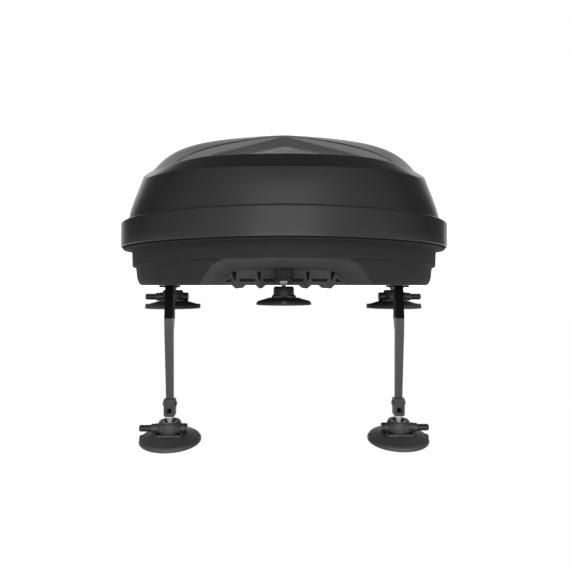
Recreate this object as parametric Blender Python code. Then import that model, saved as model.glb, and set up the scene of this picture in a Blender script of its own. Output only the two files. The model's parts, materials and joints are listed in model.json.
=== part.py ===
"""Roof cargo box carried on five vacuum cups.

Metres, +Z up. The origin is the middle of the centre cup's bearing face, +X is the
box's right seen from the nose and +Y runs from the nose to the tail.
"""
import math

import bmesh
import bpy
from mathutils import Matrix, Vector

# Fits
GAP = 0.0003
RUN = 0.0004

# Plan outline of the box, measured on the lid's skirt
HALF_WIDTH = 0.415
WIDEST_Y = -0.060
NOSE_LENGTH = 0.445
TAIL_LENGTH = 0.572
NOSE_POWER = 1.75
TAIL_POWER = 4.5
OUTLINE_POINTS = 40
CORNER_WEIGHT = 0.16

# Lid
SKIN = 0.004
BAND_LOW = 0.146
BAND_TOP = 0.206
BAND_ROUND = 0.008
LEDGE = 0.013
LEDGE_SPREAD = 0.004
CREASE_LOW_INSET = 0.039
CREASE_LOW_SPREAD = 0.017
CREASE_HIGH_INSET = 0.075
CREASE_HIGH_SPREAD = 0.004
CREASE_SHARE = 0.728
CREASE_SIDE_SHARE = 0.216
CREST_Z = 0.436
CREST_Y = -0.100
CREST_ROUND = 0.050
NOSE_FALL = 0.1164
NOSE_RUN = 0.320
TAIL_FALL = 0.080
TAIL_RUN = 0.540
SIDE_FALL_X = HALF_WIDTH - CREASE_HIGH_INSET
SIDE_CROWN = 0.036
SIDE_FALL = 0.057
CORNER_FALL = 0.355
TOP_CENTRE_Y = -0.020

# Tray
TRAY_INSET = 0.027
LIP_INSET = 0.006
RIM_INSET = 0.010
LIP_LOW = 0.141
LIP_TOP = 0.144
RIM_TOP = 0.190
STEP_SIDE_Z = 0.099
STEP_NOSE_RISE = 0.009
STEP_RISE_Y = -0.200
STEP_RISE_RUN = 0.260
FLOOR_Z = 0.054
FLOOR_INSET = 0.048
TUNNEL_ROOF_Z = 0.097
TUNNEL_NOSE_Z = 0.109
TUNNEL_HALF = 0.140
TUNNEL_FLARE = 0.045
TUNNEL_FLAT_Y = -0.060
RAMP_TOP_Y = 0.024
RAMP_LOW_Y = 0.075
RIB_PITCH = 0.069
RIB_HALF = 0.014
RIB_LOW = 0.044
RIB_END_Y = 0.420

# Hinges on the right side, locks on the left
HINGE_X = HALF_WIDTH + 0.0055
HINGE_R = 0.005
HINGE_HALF = 0.025
HINGE_YS = {"front": 0.075, "rear": 0.235}
KNUCKLE_STEP = 0.0008
PIN_R = 0.002
LOCK_YS = {"front": 0.030, "rear": 0.190}
LOCK_Z = 0.172
SPINDLE_R = 0.005
KNOB_R = 0.013
CAM_LENGTH = 0.018
CAM_HALF = 0.0035

# Vacuum cups, heights above the cup's bearing face
PAD_R = 0.076
PAD_TOP = 0.020
BOSS_R = 0.027
HUB_R = 0.0285
HUB_TOP = 0.051
BALL_Z = 0.040
BALL_R = 0.009
MOUTH_R = 0.014
NECK_R = 0.005
FLARE_R = 0.0103
FLANGE_HALF = 0.033
BARREL_Z = 0.032
BARREL_R = 0.012
BARREL_HALF = 0.036
COLLAR_END = 0.046
BORE_R = 0.0087
BORE_STOP = 0.014
PLUNGER_R = 0.0082
PLUNGER_OUT = 0.075
PLUNGER_IN = 0.038
CAP_LENGTH = 0.006
SPIGOT_R = 0.006
SOCKET_GAP = 0.0007
PAD_SIDES = 24
HUB_SIDES = 16
PUMP_SIDES = 12

# Where the cups sit
SIDE_CUP = (HALF_WIDTH - 0.107, 0.019, -0.010)
LEG_X = HALF_WIDTH - 0.132
LEG_Y = -0.155
LEG_CUP_Z = -0.331
LEG_CUP_TILT = math.radians(7.5)

# Legs, brackets and studs
STUD_R = 0.005
PLATE = 0.004
FLANGE = 0.0047
LEG_TOP_HALF = 0.01025
LEG_LOW_HALF = 0.009
STRUT_HALF = 0.005
BEND_OUT = 0.021
BEND_Z = -0.027
STRUT_END_Z = -0.246
CLAMP_TOP = -0.226
CLAMP_LOW = -0.269
CLAMP_HALF_X = 0.0135
CLAMP_HALF_Y = 0.012
BOLT_Z = -0.238
BOLT_R = 0.003
WINDOW_HALF = 0.0055
WINDOW_Z = -0.254
CENTRE_HALF_X = 0.025
CENTRE_HALF_Y = 0.018
CENTRE_LOW = 0.066
SIDE_BRACKET = 0.006

SHADES = {
    "shell": ((0.025, 0.025, 0.027, 1.0), 0.38, 0.0),
    "steel": ((0.040, 0.040, 0.043, 1.0), 0.50, 0.6),
    "zinc": ((0.70, 0.70, 0.70, 1.0), 0.22, 1.0),
    "rubber": ((0.020, 0.020, 0.021, 1.0), 0.62, 0.0),
    "plastic": ((0.050, 0.050, 0.053, 1.0), 0.45, 0.0),
}


def clear_scene():
    """Remove whatever the file starts with."""
    for item in list(bpy.data.objects):
        bpy.data.objects.remove(item)


def add_part(name, bm, shade, pivot=(0.0, 0.0, 0.0)):
    """Turn a mesh drawn in place into a named sub-part whose origin is its pivot."""
    bmesh.ops.remove_doubles(bm, verts=bm.verts, dist=0.000005)
    bmesh.ops.recalc_face_normals(bm, faces=bm.faces)
    bmesh.ops.transform(bm, matrix=Matrix.Translation(-Vector(pivot)), verts=bm.verts)
    mesh = bpy.data.meshes.new(name)
    bm.to_mesh(mesh)
    bm.free()
    item = bpy.data.objects.new(name, mesh)
    item.location = pivot
    bpy.context.collection.objects.link(item)
    colour, rough, metal = SHADES[shade]
    paint = bpy.data.materials.new(name + "_finish")
    paint.use_nodes = True
    shader = paint.node_tree.nodes["Principled BSDF"]
    shader.inputs["Base Color"].default_value = colour
    shader.inputs["Roughness"].default_value = rough
    shader.inputs["Metallic"].default_value = metal
    mesh.materials.append(paint)
    return item


def as_object(bm):
    """Wrap a mesh as a scratch object for a Boolean."""
    bmesh.ops.recalc_face_normals(bm, faces=bm.faces)
    mesh = bpy.data.meshes.new("scratch")
    bm.to_mesh(mesh)
    bm.free()
    item = bpy.data.objects.new("scratch", mesh)
    bpy.context.collection.objects.link(item)
    return item


def combine(base, tool, operation):
    """Return base joined with, cut by or kept inside tool."""
    base_item = as_object(base)
    tool_item = as_object(tool)
    step = base_item.modifiers.new("step", "BOOLEAN")
    step.operation = operation
    step.solver = "EXACT"
    step.object = tool_item
    graph = bpy.context.evaluated_depsgraph_get()
    mesh = bpy.data.meshes.new_from_object(base_item.evaluated_get(graph))
    result = bmesh.new()
    result.from_mesh(mesh)
    bpy.data.objects.remove(base_item)
    bpy.data.objects.remove(tool_item)
    bmesh.ops.remove_doubles(result, verts=result.verts, dist=0.000005)
    return result


def block(low, high):
    """A box between two corners."""
    bm = bmesh.new()
    bmesh.ops.create_cube(bm, size=1.0)
    middle = (Vector(low) + Vector(high)) / 2
    size = Vector(high) - Vector(low)
    bmesh.ops.scale(bm, vec=size, verts=bm.verts)
    bmesh.ops.translate(bm, vec=middle, verts=bm.verts)
    return bm


def rod(start, end, radius, sides=16, end_radius=None):
    """A round bar between two points."""
    first = Vector(start)
    along = Vector(end) - first
    bm = bmesh.new()
    bmesh.ops.create_cone(
        bm, cap_ends=True, cap_tris=False, segments=sides, radius1=radius,
        radius2=radius if end_radius is None else end_radius, depth=along.length)
    turn = along.to_track_quat("Z", "Y").to_matrix().to_4x4()
    bmesh.ops.transform(bm, matrix=Matrix.Translation(first + along / 2) @ turn, verts=bm.verts)
    return bm


def lathe(profile, sides):
    """Revolve (radius, height) points about Z; both ends lie on the axis."""
    bm = bmesh.new()
    rows = []
    for radius, height in profile:
        if radius == 0.0:
            rows.append([bm.verts.new((0.0, 0.0, height))])
            continue
        angles = [2 * math.pi * k / sides for k in range(sides)]
        rows.append([bm.verts.new((radius * math.cos(a), radius * math.sin(a), height)) for a in angles])
    bridge_rows(bm, rows)
    return bm


def along_pump(profile):
    """Revolve (radius, distance) points about a cup's pump axis, distance outwards."""
    bm = lathe(profile, PUMP_SIDES)
    place = Matrix.Translation((0.0, 0.0, BARREL_Z)) @ Matrix.Rotation(-math.pi / 2, 4, "Y")
    bmesh.ops.transform(bm, matrix=place, verts=bm.verts)
    return bm


def bridge_rows(bm, rows, around=False):
    """Skin neighbouring rows of points; a row of one point closes as a fan."""
    pairs = list(zip(rows, rows[1:]))
    if around:
        pairs.append((rows[-1], rows[0]))
    for low, high in pairs:
        count = max(len(low), len(high))
        for k in range(count):
            after = (k + 1) % count
            near = [low[k % len(low)], low[after % len(low)]]
            far = [high[after % len(high)], high[k % len(high)]]
            bm.faces.new(list(dict.fromkeys(near + far)))


def loft(sections):
    """Skin a run of cross sections, each a list of points, and close both ends."""
    bm = bmesh.new()
    rows = [[bm.verts.new(point) for point in section] for section in sections]
    bridge_rows(bm, rows)
    bm.faces.new(rows[0])
    bm.faces.new(rows[-1])
    bmesh.ops.triangulate(bm, faces=bm.faces)
    bmesh.ops.recalc_face_normals(bm, faces=bm.faces)
    return bm


def trapezium(x, y, high, high_half, low, low_half):
    """Four points across the box at one station along its length."""
    return [
        (x - high_half, y, high), (x + high_half, y, high),
        (x + low_half, y, low), (x - low_half, y, low)]


def sweep_y(profile, low_y, high_y):
    """An (x, z) profile drawn out along Y."""
    bm = bmesh.new()
    near = [bm.verts.new((x, low_y, z)) for x, z in profile]
    far = [bm.verts.new((x, high_y, z)) for x, z in profile]
    bridge_rows(bm, [near, far])
    bm.faces.new(near)
    bm.faces.new(list(reversed(far)))
    return bm


def plan_point(angle):
    """One point of the plan outline; the nose tip is at minus a quarter turn."""
    c = math.cos(angle)
    s = math.sin(angle)
    side = math.copysign(1.0, c)
    if s < 0:
        return Vector((side * HALF_WIDTH * abs(c) ** (2 / NOSE_POWER), WIDEST_Y + NOSE_LENGTH * s))
    power = 2 / TAIL_POWER
    return Vector((side * HALF_WIDTH * abs(c) ** power, WIDEST_Y + TAIL_LENGTH * s ** power))


def plan_outline():
    """Plan points and inward normals, closer together where the outline turns."""
    steps = 1440
    dense = [plan_point(2 * math.pi * k / steps - math.pi / 2) for k in range(steps)]
    travel = [0.0]
    for k in range(steps):
        here = dense[(k + 1) % steps] - dense[k]
        back = dense[k] - dense[k - 1]
        travel.append(travel[-1] + here.length + CORNER_WEIGHT * abs(here.angle_signed(back)))
    points = []
    k = 0
    for n in range(OUTLINE_POINTS):
        goal = travel[-1] * n / OUTLINE_POINTS
        while travel[k + 1] < goal:
            k += 1
        share = (goal - travel[k]) / (travel[k + 1] - travel[k])
        points.append(dense[k].lerp(dense[(k + 1) % steps], share))
    normals = []
    for n, point in enumerate(points):
        along = points[(n + 1) % OUTLINE_POINTS] - points[n - 1]
        normals.append(Vector((-along.y, along.x)).normalized())
    return list(zip(points, normals))


def side_x(y):
    """Half width of the box's faceted skirt at a station along its length."""
    right = [point for point, _ in plan_outline()[:OUTLINE_POINTS // 2 + 1]]
    for here, after in zip(right, right[1:]):
        if here.y <= y <= after.y:
            return here.x + (after.x - here.x) * (y - here.y) / (after.y - here.y)
    return 0.0


def top_height(x, y):
    """Height of the lid's upper panel."""
    ahead = max(0.0, CREST_Y - y)
    across = abs(x) / SIDE_FALL_X
    reach = math.hypot(NOSE_RUN, CREST_ROUND) - CREST_ROUND
    fall = NOSE_FALL * (math.hypot(ahead, CREST_ROUND) - CREST_ROUND) / reach
    fall += TAIL_FALL * (max(0.0, y - CREST_Y) / TAIL_RUN) ** 4
    fall += SIDE_CROWN * across ** 1.5 + SIDE_FALL * across ** 7
    return CREST_Z - fall - CORNER_FALL * ahead * across ** 4


def step_height(y):
    """Height of the tray's styling step, which lifts towards the nose."""
    share = min(1.0, max(0.0, (STEP_RISE_Y - y) / STEP_RISE_RUN))
    return STEP_SIDE_Z + STEP_NOSE_RISE * share * share * (3 - 2 * share)


def sideways(x):
    """Share of a form that grows from the middle plane to the box's sides."""
    return (abs(x) / HALF_WIDTH) ** 3


def ring(bm, outline, inset, height, spread=0.0):
    """A closed row of points inset from the plan outline, by spread more at the sides."""
    row = []
    for point, inward in outline:
        spot = point + inward * (inset + spread * sideways(point.x))
        level = height(spot.x, spot.y) if callable(height) else height
        row.append(bm.verts.new((spot.x, spot.y, level)))
    return row


def shrunk(bm, row, share, height):
    """A copy of a row drawn in towards the middle of the lid's top."""
    spots = [(v.co.x * share, TOP_CENTRE_Y + (v.co.y - TOP_CENTRE_Y) * share) for v in row]
    return [bm.verts.new((x, y, height(x, y))) for x, y in spots]


def lid_wall(bm, outline, depth):
    """Rows of the lid from its ledge up to the middle of its top, set in by depth."""
    def top(x, y):
        return top_height(x, y) - depth

    def crease_low(x, y):
        share = CREASE_SHARE + CREASE_SIDE_SHARE * sideways(x)
        return BAND_TOP + share * (top_height(x * 0.93, y * 0.93) - BAND_TOP) - depth * 0.7

    def bulge(x, y):
        return BAND_TOP + 0.45 * (crease_low(x, y) - BAND_TOP)

    rows = [
        ring(bm, outline, LEDGE + 0.002 + depth, BAND_TOP + 0.003, LEDGE_SPREAD),
        ring(bm, outline, LEDGE + 0.007 + depth, bulge, LEDGE_SPREAD),
        ring(bm, outline, CREASE_LOW_INSET + depth, crease_low, CREASE_LOW_SPREAD),
        ring(bm, outline, CREASE_HIGH_INSET + depth, top, CREASE_HIGH_SPREAD),
    ]
    edge = rows[-1]
    for share in (0.86, 0.62, 0.32):
        rows.append(shrunk(bm, edge, share, top))
    rows.append([bm.verts.new((0.0, TOP_CENTRE_Y, top(0.0, TOP_CENTRE_Y)))])
    return rows


def make_lid(outline):
    """Lid with its overlapping skirt, ledge and creased top."""
    bm = bmesh.new()
    under = BAND_TOP - 0.0077
    outer = [
        ring(bm, outline, 0.0, BAND_LOW),
        ring(bm, outline, 0.0, BAND_TOP - BAND_ROUND),
        ring(bm, outline, BAND_ROUND / 2, BAND_TOP - 0.002),
        ring(bm, outline, LEDGE, BAND_TOP, LEDGE_SPREAD),
    ] + lid_wall(bm, outline, 0.0)
    inner = [
        ring(bm, outline, SKIN, BAND_LOW),
        ring(bm, outline, SKIN, under - 0.004),
        ring(bm, outline, SKIN + 0.0035, under),
        ring(bm, outline, LEDGE + SKIN, under, LEDGE_SPREAD),
    ] + lid_wall(bm, outline, SKIN)
    bridge_rows(bm, list(reversed(inner)) + outer)
    for y in LOCK_YS.values():
        x = side_x(y)
        hole = rod((-x - SPINDLE_R, y, LOCK_Z), (-x + SKIN * 1.75, y, LOCK_Z), SPINDLE_R + GAP, 12)
        bm = combine(bm, hole, "DIFFERENCE")
    hinge_axis = (HINGE_X, HINGE_YS["front"], BAND_LOW)
    return add_part("lid", bm, "shell", hinge_axis)


def tunnel_block(grow):
    """The space under the tray's nose, grown to draw the moulding around it."""
    roof = TUNNEL_ROOF_Z + grow
    low = FLOOR_Z - 0.010
    half = TUNNEL_HALF + grow
    wide = half + TUNNEL_FLARE
    stations = (
        (WIDEST_Y - NOSE_LENGTH * 1.16, TUNNEL_NOSE_Z + grow, half),
        (TUNNEL_FLAT_Y, roof, half),
        (RAMP_TOP_Y + grow, roof, half),
        (RAMP_LOW_Y + grow * 1.2, FLOOR_Z - 0.002, wide - 0.001),
    )
    return loft([trapezium(0.0, y, high, top_half, low, wide) for y, high, top_half in stations])


def stud_places():
    """Stud axes and spans, grouped by the mount they hold."""
    side_x_at, side_y, _ = SIDE_CUP
    pitch = 0.022
    places = {"centre": [(-0.015, 0.0), (0.015, 0.0)]}
    for name, side in (("left", -1), ("right", 1)):
        x = side * side_x_at
        places["side_" + name] = [(x, side_y - pitch), (x, side_y + pitch)]
        x = side * (LEG_X + 0.008)
        y = LEG_Y + 0.032
        places["leg_" + name] = [(x, y - pitch), (x, y + pitch)]
    return places


def rib_block(x):
    """One moulded rib: it leaves the tunnel's ramp and runs back under the floor."""
    root = FLOOR_Z + 0.002
    fall = (TUNNEL_ROOF_Z - FLOOR_Z) / (RAMP_LOW_Y - RAMP_TOP_Y)
    start = TUNNEL_ROOF_Z - fall * 0.016
    stations = (
        (RAMP_TOP_Y + 0.016, start + 0.0026, start - 0.001),
        (RAMP_LOW_Y - 0.005, root + 0.003, RIB_LOW + 0.0015),
        (RAMP_LOW_Y + 0.010, root, RIB_LOW),
        (RIB_END_Y - 0.030, root, RIB_LOW),
        (RIB_END_Y, root, FLOOR_Z - 0.001),
    )
    return loft([trapezium(x, y, high, RIB_HALF, low, RIB_HALF * 0.25) for y, high, low in stations])


def make_tray(outline):
    """Tray with its lip, stepped wall, side lobes, central tunnel and floor ribs."""
    bm = bmesh.new()
    rows = [
        [bm.verts.new((0.0, 0.0, FLOOR_Z))],
        ring(bm, outline, FLOOR_INSET, FLOOR_Z),
        ring(bm, outline, FLOOR_INSET - 0.0055, FLOOR_Z + 0.006),
        ring(bm, outline, FLOOR_INSET - 0.009, FLOOR_Z + 0.017),
        ring(bm, outline, TRAY_INSET + 0.0095, lambda x, y: step_height(y) - 0.003),
        ring(bm, outline, TRAY_INSET + 0.001, lambda x, y: step_height(y)),
        ring(bm, outline, TRAY_INSET, LIP_LOW - 0.002),
        ring(bm, outline, LIP_INSET, LIP_LOW),
        ring(bm, outline, LIP_INSET, LIP_TOP),
        ring(bm, outline, RIM_INSET, LIP_TOP),
        ring(bm, outline, RIM_INSET, RIM_TOP),
        [bm.verts.new((0.0, 0.0, RIM_TOP))],
    ]
    bridge_rows(bm, rows)
    well = bmesh.new()
    rows = [
        [well.verts.new((0.0, 0.0, FLOOR_Z + SKIN))],
        ring(well, outline, FLOOR_INSET + 0.002, FLOOR_Z + SKIN),
        ring(well, outline, FLOOR_INSET - 0.0015, FLOOR_Z + 0.009),
        ring(well, outline, FLOOR_INSET - 0.005, FLOOR_Z + 0.019),
        ring(well, outline, TRAY_INSET + 0.0135, lambda x, y: step_height(y) + 0.001),
        ring(well, outline, TRAY_INSET + SKIN, LIP_LOW + 0.001),
        ring(well, outline, RIM_INSET + SKIN, LIP_TOP + 0.006),
        ring(well, outline, RIM_INSET + SKIN, RIM_TOP + 0.010),
        [well.verts.new((0.0, 0.0, RIM_TOP + 0.010))],
    ]
    bridge_rows(well, rows)
    well = combine(well, tunnel_block(SKIN), "DIFFERENCE")
    bm = combine(bm, tunnel_block(0.0), "DIFFERENCE")
    bm = combine(bm, well, "DIFFERENCE")
    for k in (-2, -1, 1, 2):
        bm = combine(bm, rib_block(k * RIB_PITCH), "UNION")
    for name, spots in stud_places().items():
        top = TUNNEL_ROOF_Z if name == "centre" else FLOOR_Z
        for x, y in spots:
            hole = rod((x, y, top - SKIN * 2), (x, y, top + SKIN * 2.5), STUD_R + GAP, 12)
            bm = combine(bm, hole, "DIFFERENCE")
    return add_part("tray", bm, "shell")


def make_seal(outline):
    """Rubber seal lying on the tray's rim under the lid's ledge."""
    bm = bmesh.new()
    low = RIM_TOP + GAP
    high = BAND_TOP - 0.0077 - GAP
    rows = [
        ring(bm, outline, RIM_INSET - 0.0015, low),
        ring(bm, outline, RIM_INSET - 0.0015, high),
        ring(bm, outline, RIM_INSET + 0.0055, high),
        ring(bm, outline, RIM_INSET + 0.0055, low),
    ]
    bridge_rows(bm, rows, around=True)
    add_part("rim_seal", bm, "rubber")


def knuckle(low_y, high_y, foot):
    """A hinge eye about the pin with a foot reaching to the given height."""
    arc = [math.pi * k / 6 for k in range(7)]
    sense = 1 if foot < BAND_LOW else -1
    profile = [(HINGE_X + HINGE_R * math.cos(a), BAND_LOW + sense * HINGE_R * math.sin(a)) for a in arc]
    profile += [(HINGE_X - HINGE_R, foot), (HINGE_X + HINGE_R, foot)]
    return sweep_y(profile, low_y, high_y)


def make_hinge(name, y):
    """Tray leaf, lid leaf and pin of one hinge."""
    third = HINGE_HALF * 0.4
    reach = HINGE_HALF * 2
    ends = ((HINGE_X, y - reach, BAND_LOW), (HINGE_X, y + reach, BAND_LOW))
    bore = rod(*ends, PIN_R + GAP, 12)
    widest = max(side_x(y - HINGE_HALF), side_x(y + HINGE_HALF), side_x(y))
    far = widest - TRAY_INSET
    low = BAND_LOW - 0.024
    half = HINGE_HALF + KNUCKLE_STEP
    arm_high = (HINGE_X + HINGE_R - KNUCKLE_STEP, y + half, LIP_LOW - 0.0025)
    arm = block((far + GAP, y - half, low), arm_high)
    for first, last in ((y - HINGE_HALF, y - third - RUN), (y + third + RUN, y + HINGE_HALF)):
        arm = combine(arm, knuckle(first, last, low + 0.002), "UNION")
    arm = combine(arm, bore, "DIFFERENCE")
    add_part("hinge_tray_leaf_" + name, arm, "steel")

    face = widest + GAP
    plate_high = (face + PLATE, y + HINGE_HALF, BAND_LOW + 0.044)
    plate = block((face, y - HINGE_HALF, BAND_LOW + 0.0065), plate_high)
    inner = third - KNUCKLE_STEP
    bridge_high = (HINGE_X + HINGE_R - KNUCKLE_STEP, y + inner, BAND_LOW + 0.0105)
    bridge_out = block((face + KNUCKLE_STEP, y - inner, BAND_LOW + 0.0045), bridge_high)
    plate = combine(plate, bridge_out, "UNION")
    plate = combine(plate, knuckle(y - third, y + third, BAND_LOW + 0.0085), "UNION")
    bore = rod(*ends, PIN_R + RUN, 12)
    plate = combine(plate, bore, "DIFFERENCE")
    add_part("hinge_lid_leaf_" + name, plate, "steel", (HINGE_X, y, BAND_LOW))
    half = HINGE_HALF + KNUCKLE_STEP * 2
    pin = rod((HINGE_X, y - half, BAND_LOW), (HINGE_X, y + half, BAND_LOW), PIN_R, 12)
    add_part("hinge_pin_" + name, pin, "zinc")


def make_lock(name, y):
    """Housing, knob, latch cam and strike of one lock on the left side."""
    wall = -max(side_x(y - 0.022), side_x(y), side_x(y + 0.022))
    axis = (wall, y, LOCK_Z)
    front = wall - GAP
    housing = block((front - 0.006, y - 0.022, LOCK_Z - 0.018), (front, y + 0.022, LOCK_Z + 0.018))
    hole = rod((front - 0.02, y, LOCK_Z), (front + 0.02, y, LOCK_Z), SPINDLE_R + GAP, 12)
    housing = combine(housing, hole, "DIFFERENCE")
    add_part("lock_housing_" + name, housing, "plastic")

    face = front - 0.006 - GAP
    cam_out = SKIN + 0.0007 - min(side_x(y - 0.007), side_x(y), side_x(y + 0.007))
    cam_in = cam_out + 0.0025
    knob = rod((face - 0.005, y, LOCK_Z), (face, y, LOCK_Z), KNOB_R, 20)
    grip = block((face - 0.010, y - 0.003, LOCK_Z - 0.011), (face - 0.004, y + 0.003, LOCK_Z + 0.011))
    shaft = rod((face - 0.003, y, LOCK_Z), (cam_out - GAP, y, LOCK_Z), SPINDLE_R, 12)
    tip = rod((face - 0.002, y, LOCK_Z), (cam_in, y, LOCK_Z), SPINDLE_R * 0.5, 12)
    for piece in (grip, shaft, tip):
        knob = combine(knob, piece, "UNION")
    add_part("lock_knob_" + name, knob, "plastic", axis)

    cam = rod((cam_out, y, LOCK_Z), (cam_in, y, LOCK_Z), SPINDLE_R, 16)
    arm = block((cam_out, y - CAM_HALF, LOCK_Z - CAM_LENGTH), (cam_in, y + CAM_HALF, LOCK_Z))
    cam = combine(cam, arm, "UNION")
    hole = rod((cam_out - 0.01, y, LOCK_Z), (cam_in + 0.01, y, LOCK_Z), SPINDLE_R * 0.5 + GAP, 12)
    cam = combine(cam, hole, "DIFFERENCE")
    add_part("latch_cam_" + name, cam, "zinc", axis)

    rim = -max(side_x(y + 0.008), side_x(y + 0.020)) + RIM_INSET
    low = LOCK_Z + CAM_HALF + 0.0006
    strike = block((cam_in - 0.0016, y + 0.008, low), (rim - GAP, y + 0.020, low + 0.007))
    add_part("lock_strike_" + name, strike, "zinc")


def cup_frame(name):
    """Placing of a cup and the direction its pump points, as one transform."""
    x, y, z = SIDE_CUP
    lift = Matrix.Translation((0.0, 0.0, BALL_Z))
    tilt = Matrix.Rotation(LEG_CUP_TILT, 4, "X")
    out = Matrix.Rotation(math.pi, 4, "Z")
    ball_z = LEG_CUP_Z + BALL_Z * math.cos(LEG_CUP_TILT)
    frames = {
        "centre": Matrix.Rotation(-math.pi / 2, 4, "Z"),
        "side_left": Matrix.Translation((-x, y, z)),
        "side_right": Matrix.Translation((x, y, z)) @ out,
        "leg_left": Matrix.Translation((-LEG_X, LEG_Y, ball_z)) @ tilt @ lift.inverted(),
        "leg_right": Matrix.Translation((LEG_X, LEG_Y, ball_z)) @ tilt @ lift.inverted() @ out,
    }
    return frames[name]


def seat_height(name):
    """Height of the face that a cup's ball stud screws up against."""
    if name == "centre":
        return CENTRE_LOW
    if name.startswith("side"):
        return FLOOR_Z - GAP - SIDE_BRACKET
    return CLAMP_LOW


def shank_length(name):
    """Length of a ball stud's shank above its flare."""
    return {"c": 0.016, "s": 0.0055, "l": 0.0065}[name[0]]


def draw_pad():
    """Rubber pad with its sealing lip, flat centre boss and two lift tabs."""
    profile = [
        (0.0, 0.0), (BOSS_R, 0.0), (BOSS_R + 0.003, 0.003), (PAD_R - 0.018, 0.003), (PAD_R - 0.014, 0.0),
        (PAD_R, 0.0), (PAD_R, 0.0052), (PAD_R - 0.0038, 0.0072), (PAD_R - 0.0020, 0.0112),
        (0.039, PAD_TOP), (0.0, PAD_TOP),
    ]
    bm = lathe(profile, PAD_SIDES)
    for side in (-1, 1):
        xs = sorted((side * (PAD_R - 0.012), side * (PAD_R - 0.0004)))
        bm = combine(bm, block((xs[0], -0.007, 0.0035), (xs[1], 0.007, 0.0118)), "UNION")
    return bm


def draw_hub():
    """Hub with its ball socket, screw flange, pump barrel and bores."""
    low = PAD_TOP + GAP
    cup = BALL_R + SOCKET_GAP
    arc = [math.asin(0.46)] + [-math.pi * k / 8 for k in range(0, 4)]
    socket = [(cup * math.cos(a), BALL_Z + cup * math.sin(a)) for a in arc]
    profile = [(0.0, low), (HUB_R, low), (HUB_R, HUB_TOP - 0.006), (HUB_R - 0.0035, HUB_TOP)]
    profile += [(MOUTH_R, HUB_TOP)] + socket + [(0.0, BALL_Z - cup)]
    bm = lathe(profile, HUB_SIDES)
    plate = block((-FLANGE_HALF, -FLANGE_HALF, low + 0.0002), (FLANGE_HALF, FLANGE_HALF, low + 0.0052))
    corners = [e for e in plate.edges if abs(e.verts[0].co.z - e.verts[1].co.z) > 0.001]
    bmesh.ops.bevel(plate, geom=corners, offset=0.009, affect="EDGES", segments=1, profile=0.5)
    bm = combine(bm, plate, "UNION")
    neck = BARREL_R - 0.001
    pump = along_pump([
        (0.0, -BARREL_HALF), (BARREL_R, -BARREL_HALF), (BARREL_R, BARREL_HALF), (neck, BARREL_HALF),
        (neck, COLLAR_END), (0.0, COLLAR_END)])
    deep = BALL_Z - 0.02
    high = HUB_TOP + 0.01
    core = lathe([(0.0, deep), (MOUTH_R, deep), (MOUTH_R, high), (0.0, high)], 12)
    pump = combine(pump, core, "DIFFERENCE")
    bm = combine(bm, pump, "UNION")
    bore = rod((-0.08, 0.0, BARREL_Z), (-BORE_STOP, 0.0, BARREL_Z), BORE_R, PUMP_SIDES)
    bm = combine(bm, bore, "DIFFERENCE")
    socket = rod((0.028, 0.0, BARREL_Z), (0.08, 0.0, BARREL_Z), SPIGOT_R + GAP, 12)
    return combine(bm, socket, "DIFFERENCE")


def draw_plunger():
    """Pump plunger with a rounded push end."""
    return along_pump([
        (0.0, PLUNGER_IN), (PLUNGER_R, PLUNGER_IN), (PLUNGER_R, PLUNGER_OUT - 0.003),
        (PLUNGER_R - 0.002, PLUNGER_OUT), (0.0, PLUNGER_OUT)])


def draw_cap():
    """Round cap plugging the pump barrel's closed end."""
    first = BARREL_HALF + GAP
    last = first + CAP_LENGTH
    return along_pump([
        (0.0, -last), (BARREL_R - 0.0015, -last), (BARREL_R, -last + 0.0015), (BARREL_R, -first),
        (SPIGOT_R, -first), (SPIGOT_R, -0.030), (0.0, -0.030)])


def draw_stud(length, shank):
    """Ball stud, its ball at the origin and its shank upwards."""
    arc = [-math.pi / 2 + math.pi * k / 8 for k in range(1, 6)]
    profile = [(0.0, -BALL_R)] + [(BALL_R * math.cos(a), BALL_R * math.sin(a)) for a in arc]
    neck = math.sqrt(BALL_R ** 2 - NECK_R ** 2)
    start = max(BALL_R, length - 0.015)
    profile += [(NECK_R, neck), (NECK_R, start), (FLARE_R, length - 0.002), (FLARE_R, length)]
    profile += [(STUD_R, length), (STUD_R, length + shank), (0.0, length + shank)]
    return lathe(profile, PUMP_SIDES)


def make_cup(name):
    """Ball stud, hub, pad, plunger and end cap of one cup."""
    frame = cup_frame(name)
    ball = frame @ Vector((0.0, 0.0, BALL_Z))
    stud = draw_stud(seat_height(name) - GAP - ball.z, shank_length(name))
    bmesh.ops.translate(stud, vec=ball, verts=stud.verts)
    add_part("ball_stud_" + name, stud, "zinc", ball)
    pieces = (
        ("cup_hub_", draw_hub, "plastic"),
        ("cup_pad_", draw_pad, "rubber"),
        ("pump_cap_", draw_cap, "plastic"),
    )
    for prefix, draw, shade in pieces:
        bm = draw()
        bmesh.ops.transform(bm, matrix=frame, verts=bm.verts)
        add_part(prefix + name, bm, shade, ball)
    bm = draw_plunger()
    bmesh.ops.transform(bm, matrix=frame, verts=bm.verts)
    add_part("pump_plunger_" + name, bm, "plastic", frame @ Vector((-PLUNGER_OUT, 0.0, BARREL_Z)))


def bore_studs(bm, name, low, high):
    """Drill a mount for the studs of its backing plate."""
    for x, y in stud_places()[name]:
        bm = combine(bm, rod((x, y, low), (x, y, high), STUD_R + GAP, 12), "DIFFERENCE")
    return bm


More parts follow.
